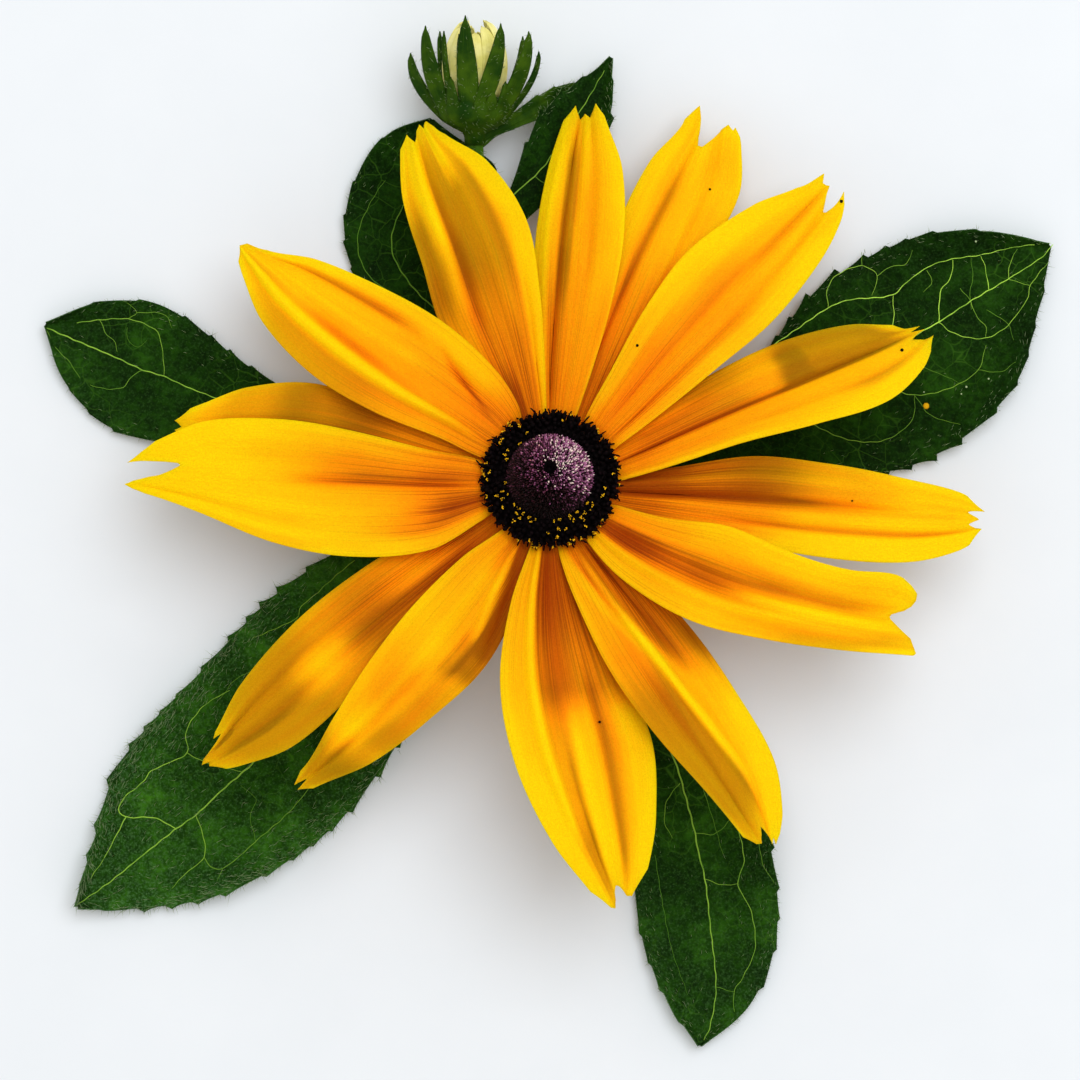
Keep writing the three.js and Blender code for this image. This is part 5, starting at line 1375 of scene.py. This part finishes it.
def hairs_on(body, count, long, favour=None, forward=0.0):
    """Needles on random spots of a form. favour weighs the spots by the form's marks."""
    points, faces, marks = body
    quads = np.array([face for face in faces if len(face) == 4])
    a, b, c, d = (points[quads[:, i]] for i in range(4))
    normal = np.cross(c - a, d - b)
    size = np.linalg.norm(normal, axis=1)
    weight = size * (favour(marks, quads[:, 0]) if favour else 1)
    chosen = dice.choice(len(quads), count, p=weight / weight.sum())
    u, w = dice.random((2, count, 1))
    spot = (a[chosen] * (1 - u) + b[chosen] * u) * (1 - w) + (d[chosen] * (1 - u) + c[chosen] * u) * w
    up = unit(normal[chosen])
    lean = up + forward * unit((b - a)[chosen]) + dice.normal(0, 0.3, (count, 3))
    return spot - SUNK_ROOT * up, lean, long * dice.uniform(0.6, 1.2, count)


def fringe(surface, step, long):
    """Needles along both margins of a blade, pointing outwards and towards its tip."""
    fine = np.linspace(0.12, 0.995, 900)
    found = []
    for edge in (-1.0, 1.0):
        run = lengths_along(surface(fine, 0 * fine + edge))
        even = np.arange(0.2, run[-1], step)
        s = np.interp(even + dice.normal(0, 0.1, len(even)), run, fine)
        spot = surface(s, 0 * s + edge)
        out = unit(spot - surface(s, 0 * s + 0.93 * edge))
        ahead = unit(surface(s + 0.004, 0 * s + edge) - spot)
        lean = out + 0.6 * ahead + (0, 0, 0.25) + dice.normal(0, 0.25, out.shape)
        found.append((spot - 0.1 * out, lean, long * dice.uniform(0.55, 1.2, len(s))))
    return found


def grow(name, slot, tufts, width=HAIR_WIDTH):
    roots, leans, longs = (np.concatenate(part) for part in zip(*tufts))
    bend = dice.normal(0, 0.25, (len(roots), 3))
    points, faces, marks = scattered(HAIR, roots, leans, longs, width, bend)
    points[:, 2] = np.maximum(points[:, 2], 0.01)
    piece(name, points, faces, hair_finish, slot, **marks)
    print(name, "hairs:", len(roots))


def leaf_favour(marks, spot):
    v, s = np.abs(marks["across"][spot]), marks["along"][spot]
    return (0.02 + v**8 + 0.12 * s**4) * (0.15 + ease(0.3, 0.6, s)) * (1 - 0.9 * marks["under"][spot])


def bract_favour(marks, spot):
    return 0.3 + np.abs(marks["across"][spot]) ** 3


tufts = []
for name, surface in LEAF_SURFACES.items():
    long = LONG_HAIR if name == "leaf_lower" else SHORT_HAIR
    tufts.append(hairs_on(leaf_meshes[name], HAIRY.get(name, SPARSE), long, leaf_favour, 1.8))
    tufts += fringe(surface, FRINGE_STEP, long)
grow("leaf_hairs", "leaf", tufts)
grow("stem_hairs", "stem", [hairs_on(stem, 260, 0.9), hairs_on(stalk, 700, 0.8)], 0.075)
grow("bract_hairs", "bract", [hairs_on(head_bract_form, 900, 0.6, bract_favour, 0.8),
                              hairs_on(bud_form, 1350, 0.5, bract_favour, 0.8)])

# %% [markdown]
# ## Surface, light and camera
# The flower lies on a plain pale surface. One broad soft light stands high beyond the bud and to
# its right, so that shadows fall towards the lower leaves, and the pale surroundings fill them.

# %% Stage
FLOOR_HALF, WORLD_TINT, WORLD_STRENGTH = 1.5, (1.0, 0.955, 0.90, 1.0), 0.74


def make_floor_finish():
    material, start, shader = finish("pale_surface", {"Roughness": 0.9})
    clouds = noise(start, grid_place(start), 60.0, 3.0)
    feed(shader, base=clouds.mixed(colour(0.715, 0.757, 0.800), colour(0.765, 0.803, 0.845)))
    return material


floor_mesh = bpy.data.meshes.new("floor")
corners = [(x * FLOOR_HALF, y * FLOOR_HALF, 0) for x, y in ((-1, -1), (1, -1), (1, 1), (-1, 1))]
floor_mesh.from_pydata(corners, [], [(0, 1, 2, 3)])
floor = bpy.data.objects.new("floor", floor_mesh)
bpy.context.scene.collection.objects.link(floor)
floor.data.materials.append(make_floor_finish())
floor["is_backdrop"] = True

world = bpy.data.worlds.new("pale room")
bpy.context.scene.world = world
world.use_nodes = True
world.node_tree.nodes["Background"].inputs["Color"].default_value = WORLD_TINT
world.node_tree.nodes["Background"].inputs["Strength"].default_value = WORLD_STRENGTH


def soft_light(name, place, size, power, tint):
    """A round lamp that faces the middle of the flower. Size in metres, power in watts."""
    light = bpy.data.lights.new(name, "AREA")
    light.shape, light.size, light.energy, light.color = "DISK", size, power, tint
    lamp = bpy.data.objects.new(name, light)
    bpy.context.scene.collection.objects.link(lamp)
    lamp.location = place
    lamp.rotation_mode = "QUATERNION"
    lamp.rotation_quaternion = (Vector((0, 0, 0.01)) - Vector(place)).to_track_quat("-Z", "Y")


soft_light("window", (0.24, 0.36, 1.2), 1.0, 10.2, (0.94, 0.97, 1.0))
bpy.context.scene.view_settings.view_transform = "Standard"
print("stage set")

# %% Camera
CAMERA_HEIGHT, CAMERA_LENS, SENSOR_WIDTH = 0.712, 210.0, 36.0
camera_data = bpy.data.cameras.new("camera")
camera_data.lens, camera_data.sensor_width = CAMERA_LENS, SENSOR_WIDTH
camera = bpy.data.objects.new("camera", camera_data)
bpy.context.scene.collection.objects.link(camera)
camera.location = (*to_model([*VIEW_CENTRE, 0])[:2], CAMERA_HEIGHT)
bpy.context.scene.camera = camera
print("camera looks straight down from", CAMERA_HEIGHT, "m")

# %% Sizes and the end
dressed_box = [list(corner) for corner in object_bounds()]
for name, box in (("model", cad_box), ("dressed", dressed_box)):
    print(name, "size in metres:", [round(high - low, 4) for low, high in zip(*box)])
